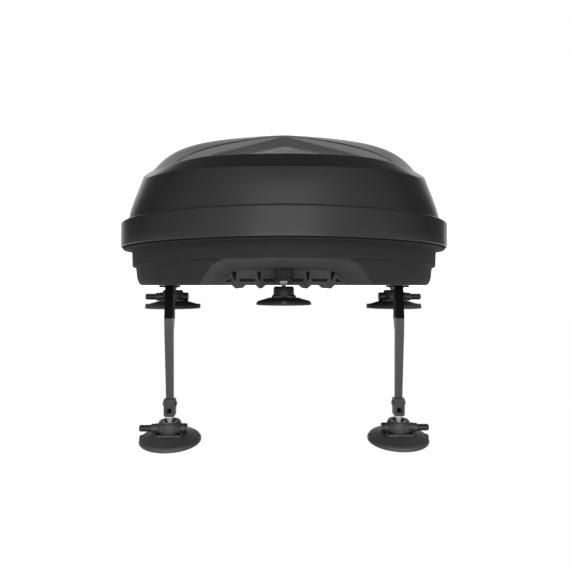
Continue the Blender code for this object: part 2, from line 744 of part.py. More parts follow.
def make_backing(name):
    """Backing plate inside the tray with its two studs through the floor."""
    spots = stud_places()[name]
    base = TUNNEL_ROOF_Z if name == "centre" else FLOOR_Z
    low = base + SKIN + GAP
    reach = 0.0105 if name == "centre" else FLANGE
    xs = [x for x, _ in spots]
    ys = [y for _, y in spots]
    bm = block((min(xs) - 0.013, min(ys) - 0.011, low), (max(xs) + 0.013, max(ys) + 0.011, low + PLATE))
    for x, y in spots:
        bm = combine(bm, rod((x, y, base - GAP - reach), (x, y, low + 0.002), STUD_R, 12), "UNION")
    add_part("backing_plate_" + name, bm, "steel")


def make_leg(name, side):
    """Leg, clamp block and clamp bolt under one side lobe."""
    x = side * LEG_X
    y = LEG_Y
    top = FLOOR_Z - GAP
    low = LEG_LOW_HALF
    wide = LEG_TOP_HALF
    thin = STRUT_HALF
    levels = (
        (top - 0.002, -0.009, 0.011, wide),
        (BEND_Z, -BEND_OUT, 0.012, wide),
        (BEND_Z - 0.033, 0.0025 - BEND_OUT, -0.002, wide),
        (CLAMP_TOP + 0.006, -thin, thin, low),
        (STRUT_END_Z, -thin, thin, low),
    )
    bm = loft([
        [(x - h, y + front, z), (x + h, y + front, z), (x + h, y + back, z), (x - h, y + back, z)]
        for z, front, back, h in levels])
    xs = sorted((x - side * 0.010, x + side * 0.026))
    bm = combine(bm, block((xs[0], y - 0.005, top - FLANGE), (xs[1], y + 0.068, top)), "UNION")
    bm = bore_studs(bm, "leg_" + name, top - FLANGE - 0.001, top + 0.002)
    reach = CLAMP_HALF_X * 2.2
    bolt_hole = rod((x - reach, y, BOLT_Z), (x + reach, y, BOLT_Z), BOLT_R + GAP, 12)
    bm = combine(bm, bolt_hole.copy(), "DIFFERENCE")
    add_part("leg_" + name, bm, "steel")

    clamp_high = (x + CLAMP_HALF_X, y + CLAMP_HALF_Y, CLAMP_TOP)
    bm = block((x - CLAMP_HALF_X, y - CLAMP_HALF_Y, CLAMP_LOW), clamp_high)
    deep = [e for e in bm.edges if abs(e.verts[0].co.y - e.verts[1].co.y) > CLAMP_HALF_Y]
    edges = [e for e in deep if e.verts[0].co.z < WINDOW_Z]
    bmesh.ops.bevel(bm, geom=edges, offset=0.005, affect="EDGES", segments=2, profile=0.5)
    slot_high = (x + low + GAP, y + thin + GAP, CLAMP_TOP + thin)
    slot = block((x - low - GAP, y - thin - GAP, STRUT_END_Z - GAP), slot_high)
    bm = combine(bm, slot, "DIFFERENCE")
    window_high = (x + WINDOW_HALF, y + CLAMP_HALF_Y * 2, WINDOW_Z + WINDOW_HALF)
    window = block((x - WINDOW_HALF, y - CLAMP_HALF_Y * 2, WINDOW_Z - WINDOW_HALF), window_high)
    stud_hole = rod((x, y, CLAMP_LOW - 0.01), (x, y, CLAMP_LOW + 0.007), STUD_R + RUN, 12)
    for cut in (window, bolt_hole, stud_hole):
        bm = combine(bm, cut, "DIFFERENCE")
    add_part("clamp_block_" + name, bm, "plastic")

    half = CLAMP_HALF_X + 0.002
    bm = rod((x - half, y, BOLT_Z), (x + half, y, BOLT_Z), BOLT_R, 12)
    for sense in (-1, 1):
        face = x + sense * (CLAMP_HALF_X + GAP)
        head = rod((face, y, BOLT_Z), (face + sense * 0.0032, y, BOLT_Z), BOLT_R * 2.1, 6)
        bm = combine(bm, head, "UNION")
    add_part("clamp_bolt_" + name, bm, "zinc")


def make_side_bracket(name, side):
    """Low plate under a side lobe that carries a cup's ball stud."""
    x = side * SIDE_CUP[0]
    y = SIDE_CUP[1]
    top = FLOOR_Z - GAP
    bm = block((x - 0.016, y - 0.033, top - SIDE_BRACKET), (x + 0.016, y + 0.033, top))
    bm = bore_studs(bm, "side_" + name, top - SIDE_BRACKET - 0.002, top + 0.002)
    bore = rod((x, y, top - SIDE_BRACKET - 0.002), (x, y, top + 0.002), STUD_R + RUN, 12)
    add_part("side_bracket_" + name, combine(bm, bore, "DIFFERENCE"), "steel")


def make_centre_bracket():
    """Block under the tunnel's roof that carries the centre cup's ball stud."""
    top = TUNNEL_ROOF_Z - GAP
    bm = block((-CENTRE_HALF_X, -CENTRE_HALF_Y, CENTRE_LOW), (CENTRE_HALF_X, CENTRE_HALF_Y, top))
    edges = [e for e in bm.edges if abs(e.verts[0].co.z - e.verts[1].co.z) > CENTRE_HALF_Y]
    bmesh.ops.bevel(bm, geom=edges, offset=0.004, affect="EDGES", segments=2, profile=0.5)
    bm = bore_studs(bm, "centre", top - 0.012, top + 0.002)
    bore = rod((0.0, 0.0, CENTRE_LOW - 0.01), (0.0, 0.0, CENTRE_LOW + 0.017), STUD_R + RUN, 12)
    add_part("centre_bracket", combine(bm, bore, "DIFFERENCE"), "steel")


def main():
    clear_scene()
    outline = plan_outline()
    make_tray(outline)
    make_lid(outline)
    make_seal(outline)
    for name, y in HINGE_YS.items():
        make_hinge(name, y)
    for name, y in LOCK_YS.items():
        make_lock(name, y)
    for name, side in (("left", -1), ("right", 1)):
        make_leg(name, side)
        make_side_bracket(name, side)
    make_centre_bracket()
    for name in ("centre", "side_left", "side_right", "leg_left", "leg_right"):
        make_backing(name)
        make_cup(name)


main()
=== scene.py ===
"""Roof cargo box on five vacuum cups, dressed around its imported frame.

Metres, +Z up, the nose towards -Y. Every mesh is drawn in its place, so each object
sits at the origin.
"""

import json
import logging
import math
from dataclasses import dataclass, field
from enum import Enum, IntEnum
from typing import Callable, Sequence

import bmesh
import bpy
from mathutils import Matrix, Vector

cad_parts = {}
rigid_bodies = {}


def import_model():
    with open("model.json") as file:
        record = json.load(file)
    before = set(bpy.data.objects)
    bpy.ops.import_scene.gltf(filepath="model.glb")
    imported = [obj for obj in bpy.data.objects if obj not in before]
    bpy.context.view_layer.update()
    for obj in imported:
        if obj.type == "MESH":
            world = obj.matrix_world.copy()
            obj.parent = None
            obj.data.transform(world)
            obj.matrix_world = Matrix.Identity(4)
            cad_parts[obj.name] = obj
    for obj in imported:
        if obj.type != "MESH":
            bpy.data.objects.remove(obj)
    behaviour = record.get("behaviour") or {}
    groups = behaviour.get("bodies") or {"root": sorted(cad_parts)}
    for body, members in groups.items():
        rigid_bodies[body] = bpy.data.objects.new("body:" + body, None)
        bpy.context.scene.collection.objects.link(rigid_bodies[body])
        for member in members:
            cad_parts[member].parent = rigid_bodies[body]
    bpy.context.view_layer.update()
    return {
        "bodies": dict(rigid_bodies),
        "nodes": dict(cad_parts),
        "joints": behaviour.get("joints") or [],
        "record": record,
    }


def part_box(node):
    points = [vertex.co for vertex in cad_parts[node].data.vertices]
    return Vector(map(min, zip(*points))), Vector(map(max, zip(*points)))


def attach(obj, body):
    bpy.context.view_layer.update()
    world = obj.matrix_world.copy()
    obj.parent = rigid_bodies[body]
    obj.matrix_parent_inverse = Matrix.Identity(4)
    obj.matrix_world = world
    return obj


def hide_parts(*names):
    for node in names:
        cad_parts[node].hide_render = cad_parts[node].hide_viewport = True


LOG = logging.getLogger("cargo_box")
WELD = 0.000004
GAP = 0.0003
QUARTER = math.pi / 2.0
SIDES = (("left", -1.0), ("right", 1.0))
Mesh = bmesh.types.BMesh
Face = bmesh.types.BMFace
Item = bpy.types.Object
Socket = bpy.types.NodeSocket
Span = tuple[float, float]
Corner = tuple[float, float, float]
Row = list[Vector]
Height = Callable[[float, float], float]


class Join(Enum):
    """How one solid is worked into another."""

    ADD = "UNION"
    CUT = "DIFFERENCE"


class Slot(Enum):
    """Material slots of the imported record."""

    SHELL = "shell"
    RUBBER = "rubber"
    ZINC = "zinc"
    STEEL = "steel"
    PLASTIC = "plastic"


class LidFace(IntEnum):
    """Finish of a face of the lid, in the order of its materials."""

    SHELL = 0
    FACET = 1
    PAINTED_HIGHLIGHT = 2
# Pale riser faces: a painted highlight.


class TrayFace(IntEnum):
    """Finish of a face of the tray, in the order of its materials."""

    SHELL = 0
    # Dent faces: painted shade.
    PAINTED_SHADE_RECESS = 1
    # Ramp faces: painted light.
    PAINTED_LIGHT_RAMP = 2
    # Tunnel roof faces: painted shade.
    PAINTED_SHADE_ROOF = 3


def smooth(share: float) -> float:
    """Ease a share from 0 to 1, held flat outside that range."""
    held = min(1.0, max(0.0, share))
    return held * held * (3.0 - 2.0 * held)


def bent(start: Vector, corner: Vector, end: Vector, share: float) -> Vector:
    """Give a point on the curve that rounds a corner."""
    return start.lerp(corner, share).lerp(corner.lerp(end, share), share)


def weld(bm: Mesh) -> Mesh:
    """Merge doubled points and point all faces outwards.

    Args:
        bm: The mesh to mend.

    Returns:
        The same mesh.
    """
    bmesh.ops.remove_doubles(bm, verts=bm.verts, dist=WELD)
    bmesh.ops.recalc_face_normals(bm, faces=bm.faces)
    return bm


def spun(profile: Sequence[Span], steps: int = 72) -> Mesh:
    """Spin (radius, height) points once around Z.

    Args:
        profile: Points from one end to the other.
        steps: Facets around the axis.

    Returns:
        The closed mesh.
    """
    bm = bmesh.new()
    verts = [bm.verts.new((radius, 0.0, height)) for radius, height in profile]
    edges = [bm.edges.new(pair) for pair in zip(verts, verts[1:])]
    bmesh.ops.spin(
        bm, geom=verts + edges, cent=(0.0, 0.0, 0.0), axis=(0.0, 0.0, 1.0),
        angle=2.0 * math.pi, steps=steps, use_merge=True)
    return weld(bm)


def round_edges(bm: Mesh, edges: list, offset: float, segments: int = 2) -> None:
    """Round some edges of a mesh.

    Args:
        bm: The mesh.
        edges: Its edges to round.
        offset: Width of the rounding.
        segments: Facets of the rounding.
    """
    bmesh.ops.bevel(
        bm, geom=edges, offset=offset, offset_type="OFFSET", affect="EDGES",
        segments=segments, profile=0.5, material=-1, clamp_overlap=True)


def brick(low: Corner, high: Corner, round_by: float = 0.0, segments: int = 2) -> Mesh:
    """Draw a block between two corners.

    Args:
        low: Lowest corner.
        high: Highest corner.
        round_by: Rounding of all its edges.
        segments: Facets of that rounding.

    Returns:
        The closed mesh.
    """
    bm = bmesh.new()
    bmesh.ops.create_cube(bm, size=1.0)
    bmesh.ops.scale(bm, vec=Vector(high) - Vector(low), verts=bm.verts)
    bmesh.ops.translate(bm, vec=(Vector(low) + Vector(high)) / 2.0, verts=bm.verts)
    if round_by:
        round_edges(bm, list(bm.edges), round_by, segments)
    return bm


def plate(low: Corner, high: Corner, corner: float, segments: int, axis: int = 2) -> Mesh:
    """Draw a block with rounded corners.

    Args:
        low: Lowest corner.
        high: Highest corner.
        corner: Rounding of the edges that run through its thickness.
        segments: Facets of that rounding.
        axis: The axis of its thickness.

    Returns:
        The closed mesh.
    """
    bm = brick(low, high)
    through = [e for e in bm.edges if abs(e.verts[0].co[axis] - e.verts[1].co[axis]) > WELD]
    round_edges(bm, through, corner, segments)
    return bm


def bar(start: Corner, end: Corner, radius: float, sides: int = 40, tip: float = 0.0) -> Mesh:
    """Draw a round bar between two points.

    Args:
        start: First end.
        end: Last end.
        radius: Radius all along.
        sides: Facets around it.
        tip: Rounding of both rims.

    Returns:
        The closed mesh.
    """
    first = Vector(start)
    along = Vector(end) - first
    bm = bmesh.new()
    bmesh.ops.create_cone(
        bm, cap_ends=True, cap_tris=False, segments=sides, radius1=radius,
        radius2=radius, depth=along.length)
    if tip:
        rims = [e for e in bm.edges if abs(e.verts[0].co.z - e.verts[1].co.z) < WELD]
        round_edges(bm, rims, tip)
    turn = along.to_track_quat("Z", "Y").to_matrix().to_4x4()
    bmesh.ops.transform(
        bm, matrix=Matrix.Translation(first + along / 2.0) @ turn, verts=bm.verts)
    return bm


def step_up(vert: bmesh.types.BMVert, fresh: set) -> bmesh.types.BMVert:
    """Find the new point that an extrusion drew out of an old one."""
    return next(e.other_vert(vert) for e in vert.link_edges if e.other_vert(vert) in fresh)


def drawn_out(sections: Sequence[Sequence[Corner]]) -> Mesh:
    """Extrude a first section through the others.

    Args:
        sections: Cross sections with the same number of points.

    Returns:
        The closed mesh.
    """
    bm = bmesh.new()
    ring = [bm.verts.new(point) for point in sections[0]]
    face = bm.faces.new(ring)
    bmesh.ops.recalc_face_normals(bm, faces=[face])
    for n, section in enumerate(sections[1:]):
        last = face
        made = bmesh.ops.extrude_face_region(bm, geom=[face])
        face = next(g for g in made["geom"] if isinstance(g, Face))
        if n and last.is_valid:
            bmesh.ops.delete(bm, geom=[last], context="FACES_ONLY")
        fresh = set(face.verts)
        ring = [step_up(vert, fresh) for vert in ring]
        for vert, point in zip(ring, section):
            vert.co = point
    return weld(bm)


def skinned(rows: Sequence[Row], capped: bool = True) -> Mesh:
    """Extrude a ring through rows of points.

    Args:
        rows: Closed rows with the same number of points.
        capped: Close the first and the last row with a face.

    Returns:
        The mesh.
    """
    bm = bmesh.new()
    made = bmesh.ops.create_circle(bm, cap_ends=capped, radius=1.0, segments=len(rows[0]))
    ring = list(made["verts"])
    edges: list = []
    for row in rows:
        if edges:
            grown = bmesh.ops.extrude_edge_only(bm, edges=edges)["geom"]
            fresh = {g for g in grown if isinstance(g, bmesh.types.BMVert)}
            ring = [step_up(vert, fresh) for vert in ring]
        for vert, spot in zip(ring, row):
            vert.co = spot
        edges = [bm.edges.get(pair) for pair in zip(ring, ring[1:] + ring[:1])]
    if capped:
        bmesh.ops.contextual_create(bm, geom=edges)
    return weld(bm)


def as_object(bm: Mesh, name: str) -> Item:
    """Turn a mesh into an object of the scene.

    Args:
        bm: The mesh, used up.
        name: The object's name.

    Returns:
        The object.
    """
    mesh = bpy.data.meshes.new(name)
    bm.to_mesh(mesh)
    bm.free()
    item = bpy.data.objects.new(name, mesh)
    bpy.context.scene.collection.objects.link(item)
    return item


def worked(base: Mesh, join: Join, *tools: Mesh) -> Mesh:
    """Work closed solids into another, one after the other.

    Args:
        base: The solid to change, used up.
        join: What to do with the tools.
        tools: The solids to add or cut away, used up.

    Returns:
        The result.
    """
    for tool in tools:
        base_item = as_object(base, "work_base")
        tool_item = as_object(tool, "work_tool")
        step = base_item.modifiers.new("work", "BOOLEAN")
        step.operation = join.value
        step.solver = "EXACT"
        step.object = tool_item
        graph = bpy.context.evaluated_depsgraph_get()
        mesh = bpy.data.meshes.new_from_object(base_item.evaluated_get(graph))
        base = bmesh.new()
        base.from_mesh(mesh)
        bpy.data.meshes.remove(mesh)
        for item in (base_item, tool_item):
            data = item.data
            bpy.data.objects.remove(item)
            bpy.data.meshes.remove(data)
        bmesh.ops.remove_doubles(base, verts=base.verts, dist=WELD)
    return base


def unfolded(bm: Mesh) -> Mesh:
    """Split many-sided faces and take out pairs that lie folded on each other.

    Args:
        bm: The mesh, changed in place.

    Returns:
        The same mesh.
    """
    bmesh.ops.triangulate(bm, faces=[f for f in bm.faces if len(f.verts) > 4])
    seen: dict[frozenset, Face] = {}
    folded = []
    for face in bm.faces:
        twin = seen.setdefault(frozenset(face.verts), face)
        if twin is not face:
            folded += [twin, face]
    bmesh.ops.delete(bm, geom=folded, context="FACES")
    return bm


def gathered(parts: Sequence[Mesh]) -> Mesh:
    """Put separate closed solids into one mesh.

    Args:
        parts: The solids, used up.

    Returns:
        One mesh of them all.
    """
    result = bmesh.new()
    for part in parts:
        mesh = bpy.data.meshes.new("gathered")
        part.to_mesh(mesh)
        part.free()
        result.from_mesh(mesh)
        bpy.data.meshes.remove(mesh)
    return result


def hex_nuts(spots: Sequence[Corner]) -> Mesh:
    """Draw a washer, a nut and a stud's end at each place.

    Args:
        spots: Places on the faces that the nuts are tightened against.

    Returns:
        One mesh of them all.
    """
    stack = (
        (0.0012, 0.0001, 0.0078, 32, 0.0002), (0.0054, 0.0012, 0.0066, 6, 0.0004),
        (0.0068, 0.0054, 0.0040, 24, 0.0004))
    return gathered([
        bar((x, y, z - low), (x, y, z - high), radius, sides, tip)
        for x, y, z in spots for low, high, radius, sides, tip in stack])


class NodeSheet:
    """Short hand for laying out shader nodes."""

    def __init__(self, tree: bpy.types.NodeTree) -> None:
        """Keep the tree to draw in."""
        self.tree = tree

    def add(self, kind: str, feeds: dict | None = None, **values: object) -> bpy.types.Node:
        """Add a node.

        Args:
            kind: The node's type name.
            feeds: What goes into its inputs: sockets to link or values to set.
            values: Properties to set on it.

        Returns:
            The node.
        """
        node = self.tree.nodes.new(kind)
        for key, value in values.items():
            setattr(node, key, value)
        for key, value in (feeds or {}).items():
            self.feed(node.inputs[key], value)
        return node

    def feed(self, target: Socket, value: object) -> None:
        """Link a socket to an input, or set a value on it.

        Args:
            target: The input.
            value: A socket or a value.
        """
        if isinstance(value, Socket):
            self.tree.links.new(value, target)
        else:
            target.default_value = value

    def maths(self, sort: str, first: object, second: object) -> Socket:
        """Work out an operation on two sockets or numbers."""
        return self.add("ShaderNodeMath", {0: first, 1: second}, operation=sort).outputs[0]

    def product(self, first: object, *others: object) -> Socket:
        """Multiply sockets and numbers.

        Args:
            first: The first of them.
            others: The rest.

        Returns:
            The product's socket.
        """
        for other in others:
            first = self.maths("MULTIPLY", first, other)
        return first

    def ranged(self, value: Socket, given: Span, made: Span = (0.0, 1.0)) -> Socket:
        """Map a value smoothly from one range onto another.

        Args:
            value: The value's socket.
            given: The range it has.
            made: The range it gets.

        Returns:
            The mapped value's socket.
        """
        feeds = {0: value, 1: given[0], 2: given[1], 3: made[0], 4: made[1]}
        return self.add("ShaderNodeMapRange", feeds, interpolation_type="SMOOTHSTEP").outputs[0]

    def blended(self, share: Socket, first: object, second: object) -> Socket:
        """Blend two colours by a mask."""
        return self.add("ShaderNodeMix", {0: share, 6: first, 7: second}, data_type="RGBA").outputs[2]

    def noise(self, vector: Socket, scale: float | Socket, detail: float = 3.0) -> Socket:
        """Add a noise pattern, its scale in cells to a metre."""
        feeds = {"Vector": vector, "Scale": scale, "Detail": detail}
        return self.add("ShaderNodeTexNoise", feeds).outputs[0]


class Effects:
    """Shader node groups that several finishes share."""

    def __init__(self) -> None:
        """Build each group once."""
        self.grain = self._grain()
        self.wear = self._wear()
        self.dust = self._dust()

    @staticmethod
    def _group(name: str, control: str, *outputs: str) -> tuple:
        """Start a group with its sockets.

        Args:
            name: The group's name.
            control: Name of the value that goes in beside the coordinates.
            outputs: Names of the values that come out.

        Returns:
            The group's sheet, its two inputs and its output node.
        """
        group = bpy.data.node_groups.new(name, "ShaderNodeTree")
        sockets = [("Vector", "INPUT", "NodeSocketVector"), (control, "INPUT", "NodeSocketFloat")]
        sockets += [(label, "OUTPUT", "NodeSocketFloat") for label in outputs]
        for label, way, kind in sockets:
            group.interface.new_socket(name=label, in_out=way, socket_type=kind)
        sheet = NodeSheet(group)
        given = sheet.add("NodeGroupInput").outputs
        return sheet, given["Vector"], given[control], sheet.add("NodeGroupOutput")

    def _grain(self) -> bpy.types.NodeTree:
        """Fine moulded grain with a slow mottle under it."""
        sheet, vector, scale, result = self._group("moulded_grain", "Scale", "Height", "Mottle")
        fine = sheet.noise(vector, scale, 4.0)
        pebble = sheet.add("ShaderNodeTexVoronoi", {"Vector": vector, "Scale": scale}).outputs[0]
        height = sheet.maths("ADD", fine, sheet.product(pebble, 0.5))
        sheet.feed(result.inputs["Height"], height)
        sheet.feed(result.inputs["Mottle"], sheet.noise(vector, 9.0))
        return sheet.tree

    def _wear(self) -> bpy.types.NodeTree:
        """Edges rubbed paler, broken up by noise."""
        sheet, vector, amount, result = self._group("edge_wear", "Amount", "Mask")
        shape = sheet.add("ShaderNodeNewGeometry").outputs
        edge = sheet.ranged(shape["Pointiness"], (0.52, 0.62))
        patch = sheet.ranged(sheet.noise(vector, 70.0), (0.35, 0.65))
        sheet.feed(result.inputs["Mask"], sheet.product(edge, patch, amount))
        return sheet.tree

    def _dust(self) -> bpy.types.NodeTree:
        """Dust that settles on faces turned up."""
        sheet, vector, amount, result = self._group("settled_dust", "Amount", "Mask")
        normal = sheet.add("ShaderNodeTexCoord").outputs["Normal"]
        parts = sheet.add("ShaderNodeSeparateXYZ", {0: normal}).outputs
        up = sheet.ranged(parts[2], (0.45, 1.0))
        patch = sheet.ranged(sheet.noise(vector, 26.0, 6.0), (0.3, 0.75))
        sheet.feed(result.inputs["Mask"], sheet.product(up, patch, amount))
        return sheet.tree


@dataclass(frozen=True)
class Finish:
    """One surface finish: its greys, gloss and texture.

    The shade and its pale, worn form are given as red and green together, then blue. Grain is
    given as cells to a metre and depth, and age as edge wear and dust.
    """

    name: str
    slot: Slot
    shade: Span
    pale: Span
    rough: Span
    grain: Span = (1000.0, 0.00006)
    age: Span = (0.10, 0.03)
    metal: float = 0.0
    specular: float = 0.5
    streaks: bool = False
    mottle: Span = (0.82, 1.12)
    dust_rough: float = 0.4
    streak_scale: Corner = (1.0, 1.0, 0.08)

    @staticmethod
    def rgba(grey: Span, factor: float = 1.0) -> tuple[float, ...]:
        """Give the full colour of a grey, lightened by a factor."""
        return (factor * grey[0], factor * grey[0], factor * grey[1], 1.0)

    def material(self, effects: Effects) -> bpy.types.Material:
        """Build the finish as a material.

        Args:
            effects: The shared node groups.

        Returns:
            The material.
        """
        paint = bpy.data.materials.new(self.name)
        paint.use_nodes = True
        sheet = NodeSheet(paint.node_tree)
        shader = paint.node_tree.nodes["Principled BSDF"].inputs
        shader["Metallic"].default_value = self.metal
        shader["Specular IOR Level"].default_value = self.specular
        place = sheet.add("ShaderNodeTexCoord").outputs["Object"]
        if self.streaks:
            feeds = {"Vector": place, "Scale": self.streak_scale}
            place = sheet.add("ShaderNodeMapping", feeds).outputs[0]
        cells, depth = self.grain
        wear, dust = self.age
        worn, dusty, grain = (
            sheet.add("ShaderNodeGroup", {"Vector": place, control: value}, node_tree=group).outputs
            for group, control, value in (
                (effects.wear, "Amount", wear), (effects.dust, "Amount", dust),
                (effects.grain, "Scale", cells)))
        colour = sheet.blended(grain["Mottle"], *(self.rgba(self.shade, f) for f in self.mottle))
        for mask in (worn["Mask"], dusty["Mask"]):
            colour = sheet.blended(mask, colour, self.rgba(self.pale))
        sheet.feed(shader["Base Color"], colour)
        gloss = sheet.ranged(grain["Mottle"], (0.3, 0.7), self.rough)
        rough = sheet.maths("ADD", gloss, sheet.product(dusty["Mask"], self.dust_rough))
        sheet.feed(shader["Roughness"], rough)
        bump = sheet.add("ShaderNodeBump", {"Distance": depth, "Height": grain["Height"]})
        sheet.feed(shader["Normal"], bump.outputs[0])
        return paint


SHELL = Finish(
    "satin_shell", Slot.SHELL, (0.010, 0.0105), (0.08, 0.08), (0.20, 0.26), (1100.0, 0.000008))
GRAINED_SHELL = Finish(
    "grained_lid_facets", Slot.SHELL, (0.078, 0.079), (0.10, 0.10), (0.42, 0.50), (900.0, 0.00004))
# The riser's pale grey is a painted highlight: it stands in for the bright reflection that the glossy
# shell shows along the scoop's riser.
RISER_PAINTED_HIGHLIGHT = Finish(
    "riser_painted_highlight", Slot.SHELL, (0.17, 0.172), (0.27, 0.27), (0.30, 0.38), (1100.0, 0.00001))
TRAY_SHELL = Finish(
    "grained_tray_shell", Slot.SHELL, (0.021, 0.022), (0.10, 0.10), (0.72, 0.82),
    (750.0, 0.00006), (0.15, 0.04), specular=0.22)
# The ramp's paler grey is painted light: it stands in for the light that the white floor throws up
# onto the ramp.
TRAY_RAMP_PAINTED_LIGHT = Finish(
    "tray_ramp_painted_light", Slot.SHELL, (0.10, 0.101), (0.16, 0.16), (0.62, 0.72),
    (900.0, 0.00003), (0.15, 0.04), specular=0.3)
# The darker grey under the tunnel's roof is painted shade.
TRAY_ROOF_PAINTED_SHADE = Finish(
    "tunnel_roof_painted_shade", Slot.SHELL, (0.014, 0.0145), (0.08, 0.08), (0.72, 0.82),
    (750.0, 0.00006), specular=0.18)
# The near-black grey in the dents above the ribs is painted shade.
TRAY_RECESS_PAINTED_SHADE = Finish(
    "tray_recess_painted_shade", Slot.SHELL, (0.009, 0.0095), (0.06, 0.06), (0.72, 0.82),
    (750.0, 0.00006), specular=0.15)
RUBBER = Finish(
    "cup_rubber", Slot.RUBBER, (0.047, 0.048), (0.12, 0.12), (0.46, 0.60),
    (520.0, 0.0001), (0.2, 0.10))
SEAL_RUBBER = Finish(
    "seal_rubber", Slot.RUBBER, (0.015, 0.015), (0.08, 0.08), (0.55, 0.70),
    (900.0, 0.00008), (0.1, 0.05))
ZINC = Finish(
    "bright_zinc", Slot.ZINC, (0.74, 0.73), (0.84, 0.83), (0.22, 0.36),
    (1500.0, 0.00002), (0.3, 0.04), metal=0.4, streaks=True)
NEAR_BLACK_FINISH = Finish(
    "near_black_finish", Slot.STEEL, (0.0025, 0.0026), (0.03, 0.03), (0.55, 0.65),
    (1000.0, 0.00005), (0.1, 0.02), specular=0.05)
BLOCK_COAT = Finish(
    "black_block_coat", Slot.STEEL, (0.013, 0.0135), (0.06, 0.06), (0.50, 0.60),
    (1000.0, 0.00005), specular=0.3)
STEEL = Finish(
    "powder_coated_steel", Slot.STEEL, (0.020, 0.0208), (0.14, 0.14), (0.34, 0.44),
    (1300.0, 0.00005), (0.3, 0.04))
PLASTIC = Finish(
    "hub_plastic", Slot.PLASTIC, (0.028, 0.029), (0.14, 0.14), (0.34, 0.45), age=(0.25, 0.08))
CLAMP_PLASTIC = Finish(
    "clamp_plastic", Slot.PLASTIC, (0.009, 0.0094), (0.12, 0.12), (0.40, 0.50), age=(0.2, 0.06))
PUMP_PLASTIC = Finish(
    "pump_plastic", Slot.PLASTIC, (0.009, 0.0094), (0.10, 0.10), (0.36, 0.46),
    (1000.0, 0.00005), (0.2, 0.05), specular=0.35)
DARK_STEEL = Finish(
    "blackened_screw", Slot.ZINC, (0.05, 0.05), (0.3, 0.3), (0.30, 0.42),
    (1500.0, 0.00003), (0.4, 0.04), metal=1.0)


class Bench:
    """Turns meshes into dressed pieces of the frame."""

    def __init__(self, frame: dict) -> None:
        """Keep the frame and build the shared effects.

        Args:
            frame: The loaded frame.
        """
        self.nodes = frame["nodes"]
        self.effects = Effects()
        self.paints: dict[str, bpy.types.Material] = {}
        self.count = 0

    def paint(self, finish: Finish) -> bpy.types.Material:
        """Give a finish's material, built at first use.

        Args:
            finish: The finish.

        Returns:
            Its material.
        """
        if finish.name not in self.paints:
            self.paints[finish.name] = finish.material(self.effects)
        return self.paints[finish.name]

    def piece(
            self, name: str, bm: Mesh, finish: Finish, body: str, replaces: Sequence[str] = (),
            sharp: float = 32.0, round_by: float = 0.0, more: Sequence[Finish] = ()) -> Item:
        """Make one dressed piece.

        Args:
            name: The piece's name.
            bm: Its mesh, used up.
            finish: Its finish.
            body: The body it rides on.
            replaces: CAD nodes it stands for.
            sharp: Angle in degrees above which an edge is left sharp.
            round_by: Width of a bevel on its sharp edges.
            more: Finishes of its faces with a material index above 0.

        Returns:
            The object.
        """
        item = as_object(bm, name)
        for face in item.data.polygons:
            face.use_smooth = True
        if round_by:
            bevel = item.modifiers.new("rounding", "BEVEL")
            bevel.width = round_by
            bevel.segments = 2
            bevel.limit_method = "ANGLE"
            bevel.angle_limit = math.radians(sharp)
            bevel.harden_normals = True
        else:
            item.data.set_sharp_from_angle(angle=math.radians(sharp))
        for coat in (finish, *more):
            item.data.materials.append(self.paint(coat))
        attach(item, body)
        if replaces:
            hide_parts(*replaces)
        self.count += 1
        LOG.info("piece %s rides on %s: %d faces", name, body, len(item.data.polygons))
        return item

    def dress(self, node: str, finish: Finish) -> None:
        """Give a carried-over CAD node a finish.

        Args:
            node: The node's name.
            finish: The finish.
        """
        mesh = self.nodes[node].data
        mesh.materials.clear()
        mesh.materials.append(self.paint(finish))
        LOG.info("node %s dressed in %s", node, finish.name)


@dataclass(frozen=True)
class Plan:
    """Plan outline of the box, measured on the lid's skirt."""

    half_width: float = 0.415
    widest_y: float = -0.060
    nose: float = 0.445
    tail: float = 0.572
    nose_power: float = 1.75
    tail_power: float = 4.5
    count: int = 180
    dense: int = 2880
    corner_weight: float = 0.16

    def point(self, angle: float) -> Vector:
        """Give the outline's point at an angle.

        Args:
            angle: Angle about the widest station; the nose tip is at minus a quarter turn.

        Returns:
            The plan point.
        """
        c = math.cos(angle)
        s = math.sin(angle)
        side = math.copysign(self.half_width, c)
        if s < 0.0:
            return Vector((side * abs(c) ** (2.0 / self.nose_power), self.widest_y + self.nose * s))
        power = 2.0 / self.tail_power
        return Vector((side * abs(c) ** power, self.widest_y + self.tail * s ** power))

    def outline(self) -> list[tuple[Vector, Vector]]:
        """Give plan points and inward normals, closer together where the outline turns."""
        steps = self.dense
        dense = [self.point(2.0 * math.pi * k / steps - QUARTER) for k in range(steps)]
        travel = [0.0]
        for k in range(steps):
            here = dense[(k + 1) % steps] - dense[k]
            back = dense[k] - dense[k - 1]
            turn = abs(here.angle_signed(back))
            travel.append(travel[-1] + here.length + self.corner_weight * turn)
        points = []
        k = 0
        for n in range(self.count):
            goal = travel[-1] * n / self.count
            while travel[k + 1] < goal:
                k += 1
            share = (goal - travel[k]) / (travel[k + 1] - travel[k])
            points.append(dense[k].lerp(dense[(k + 1) % steps], share))
        result = []
        for n, point in enumerate(points):
            along = points[(n + 1) % self.count] - points[n - 1]
            result.append((point, Vector((-along.y, along.x)).normalized()))
        return result

    def sideways(self, x: float) -> float:
        """Give the share of a form that grows from the middle plane to the sides."""
        return (abs(x) / self.half_width) ** 3

    def row(self, inset: float, height: float | Height, spread: float = 0.0) -> Row:
        """Give a closed row of points set in from the outline.

        Args:
            inset: Distance inside the outline.
            height: Height, or a function of place.
            spread: Further distance inside at the sides.

        Returns:
            The points.
        """
        spots = []
        for point, inward in self.outline():
            spot = point + inward * (inset + spread * self.sideways(point.x))
            level = height(spot.x, spot.y) if callable(height) else height
            spots.append(Vector((spot.x, spot.y, level)))
        return spots


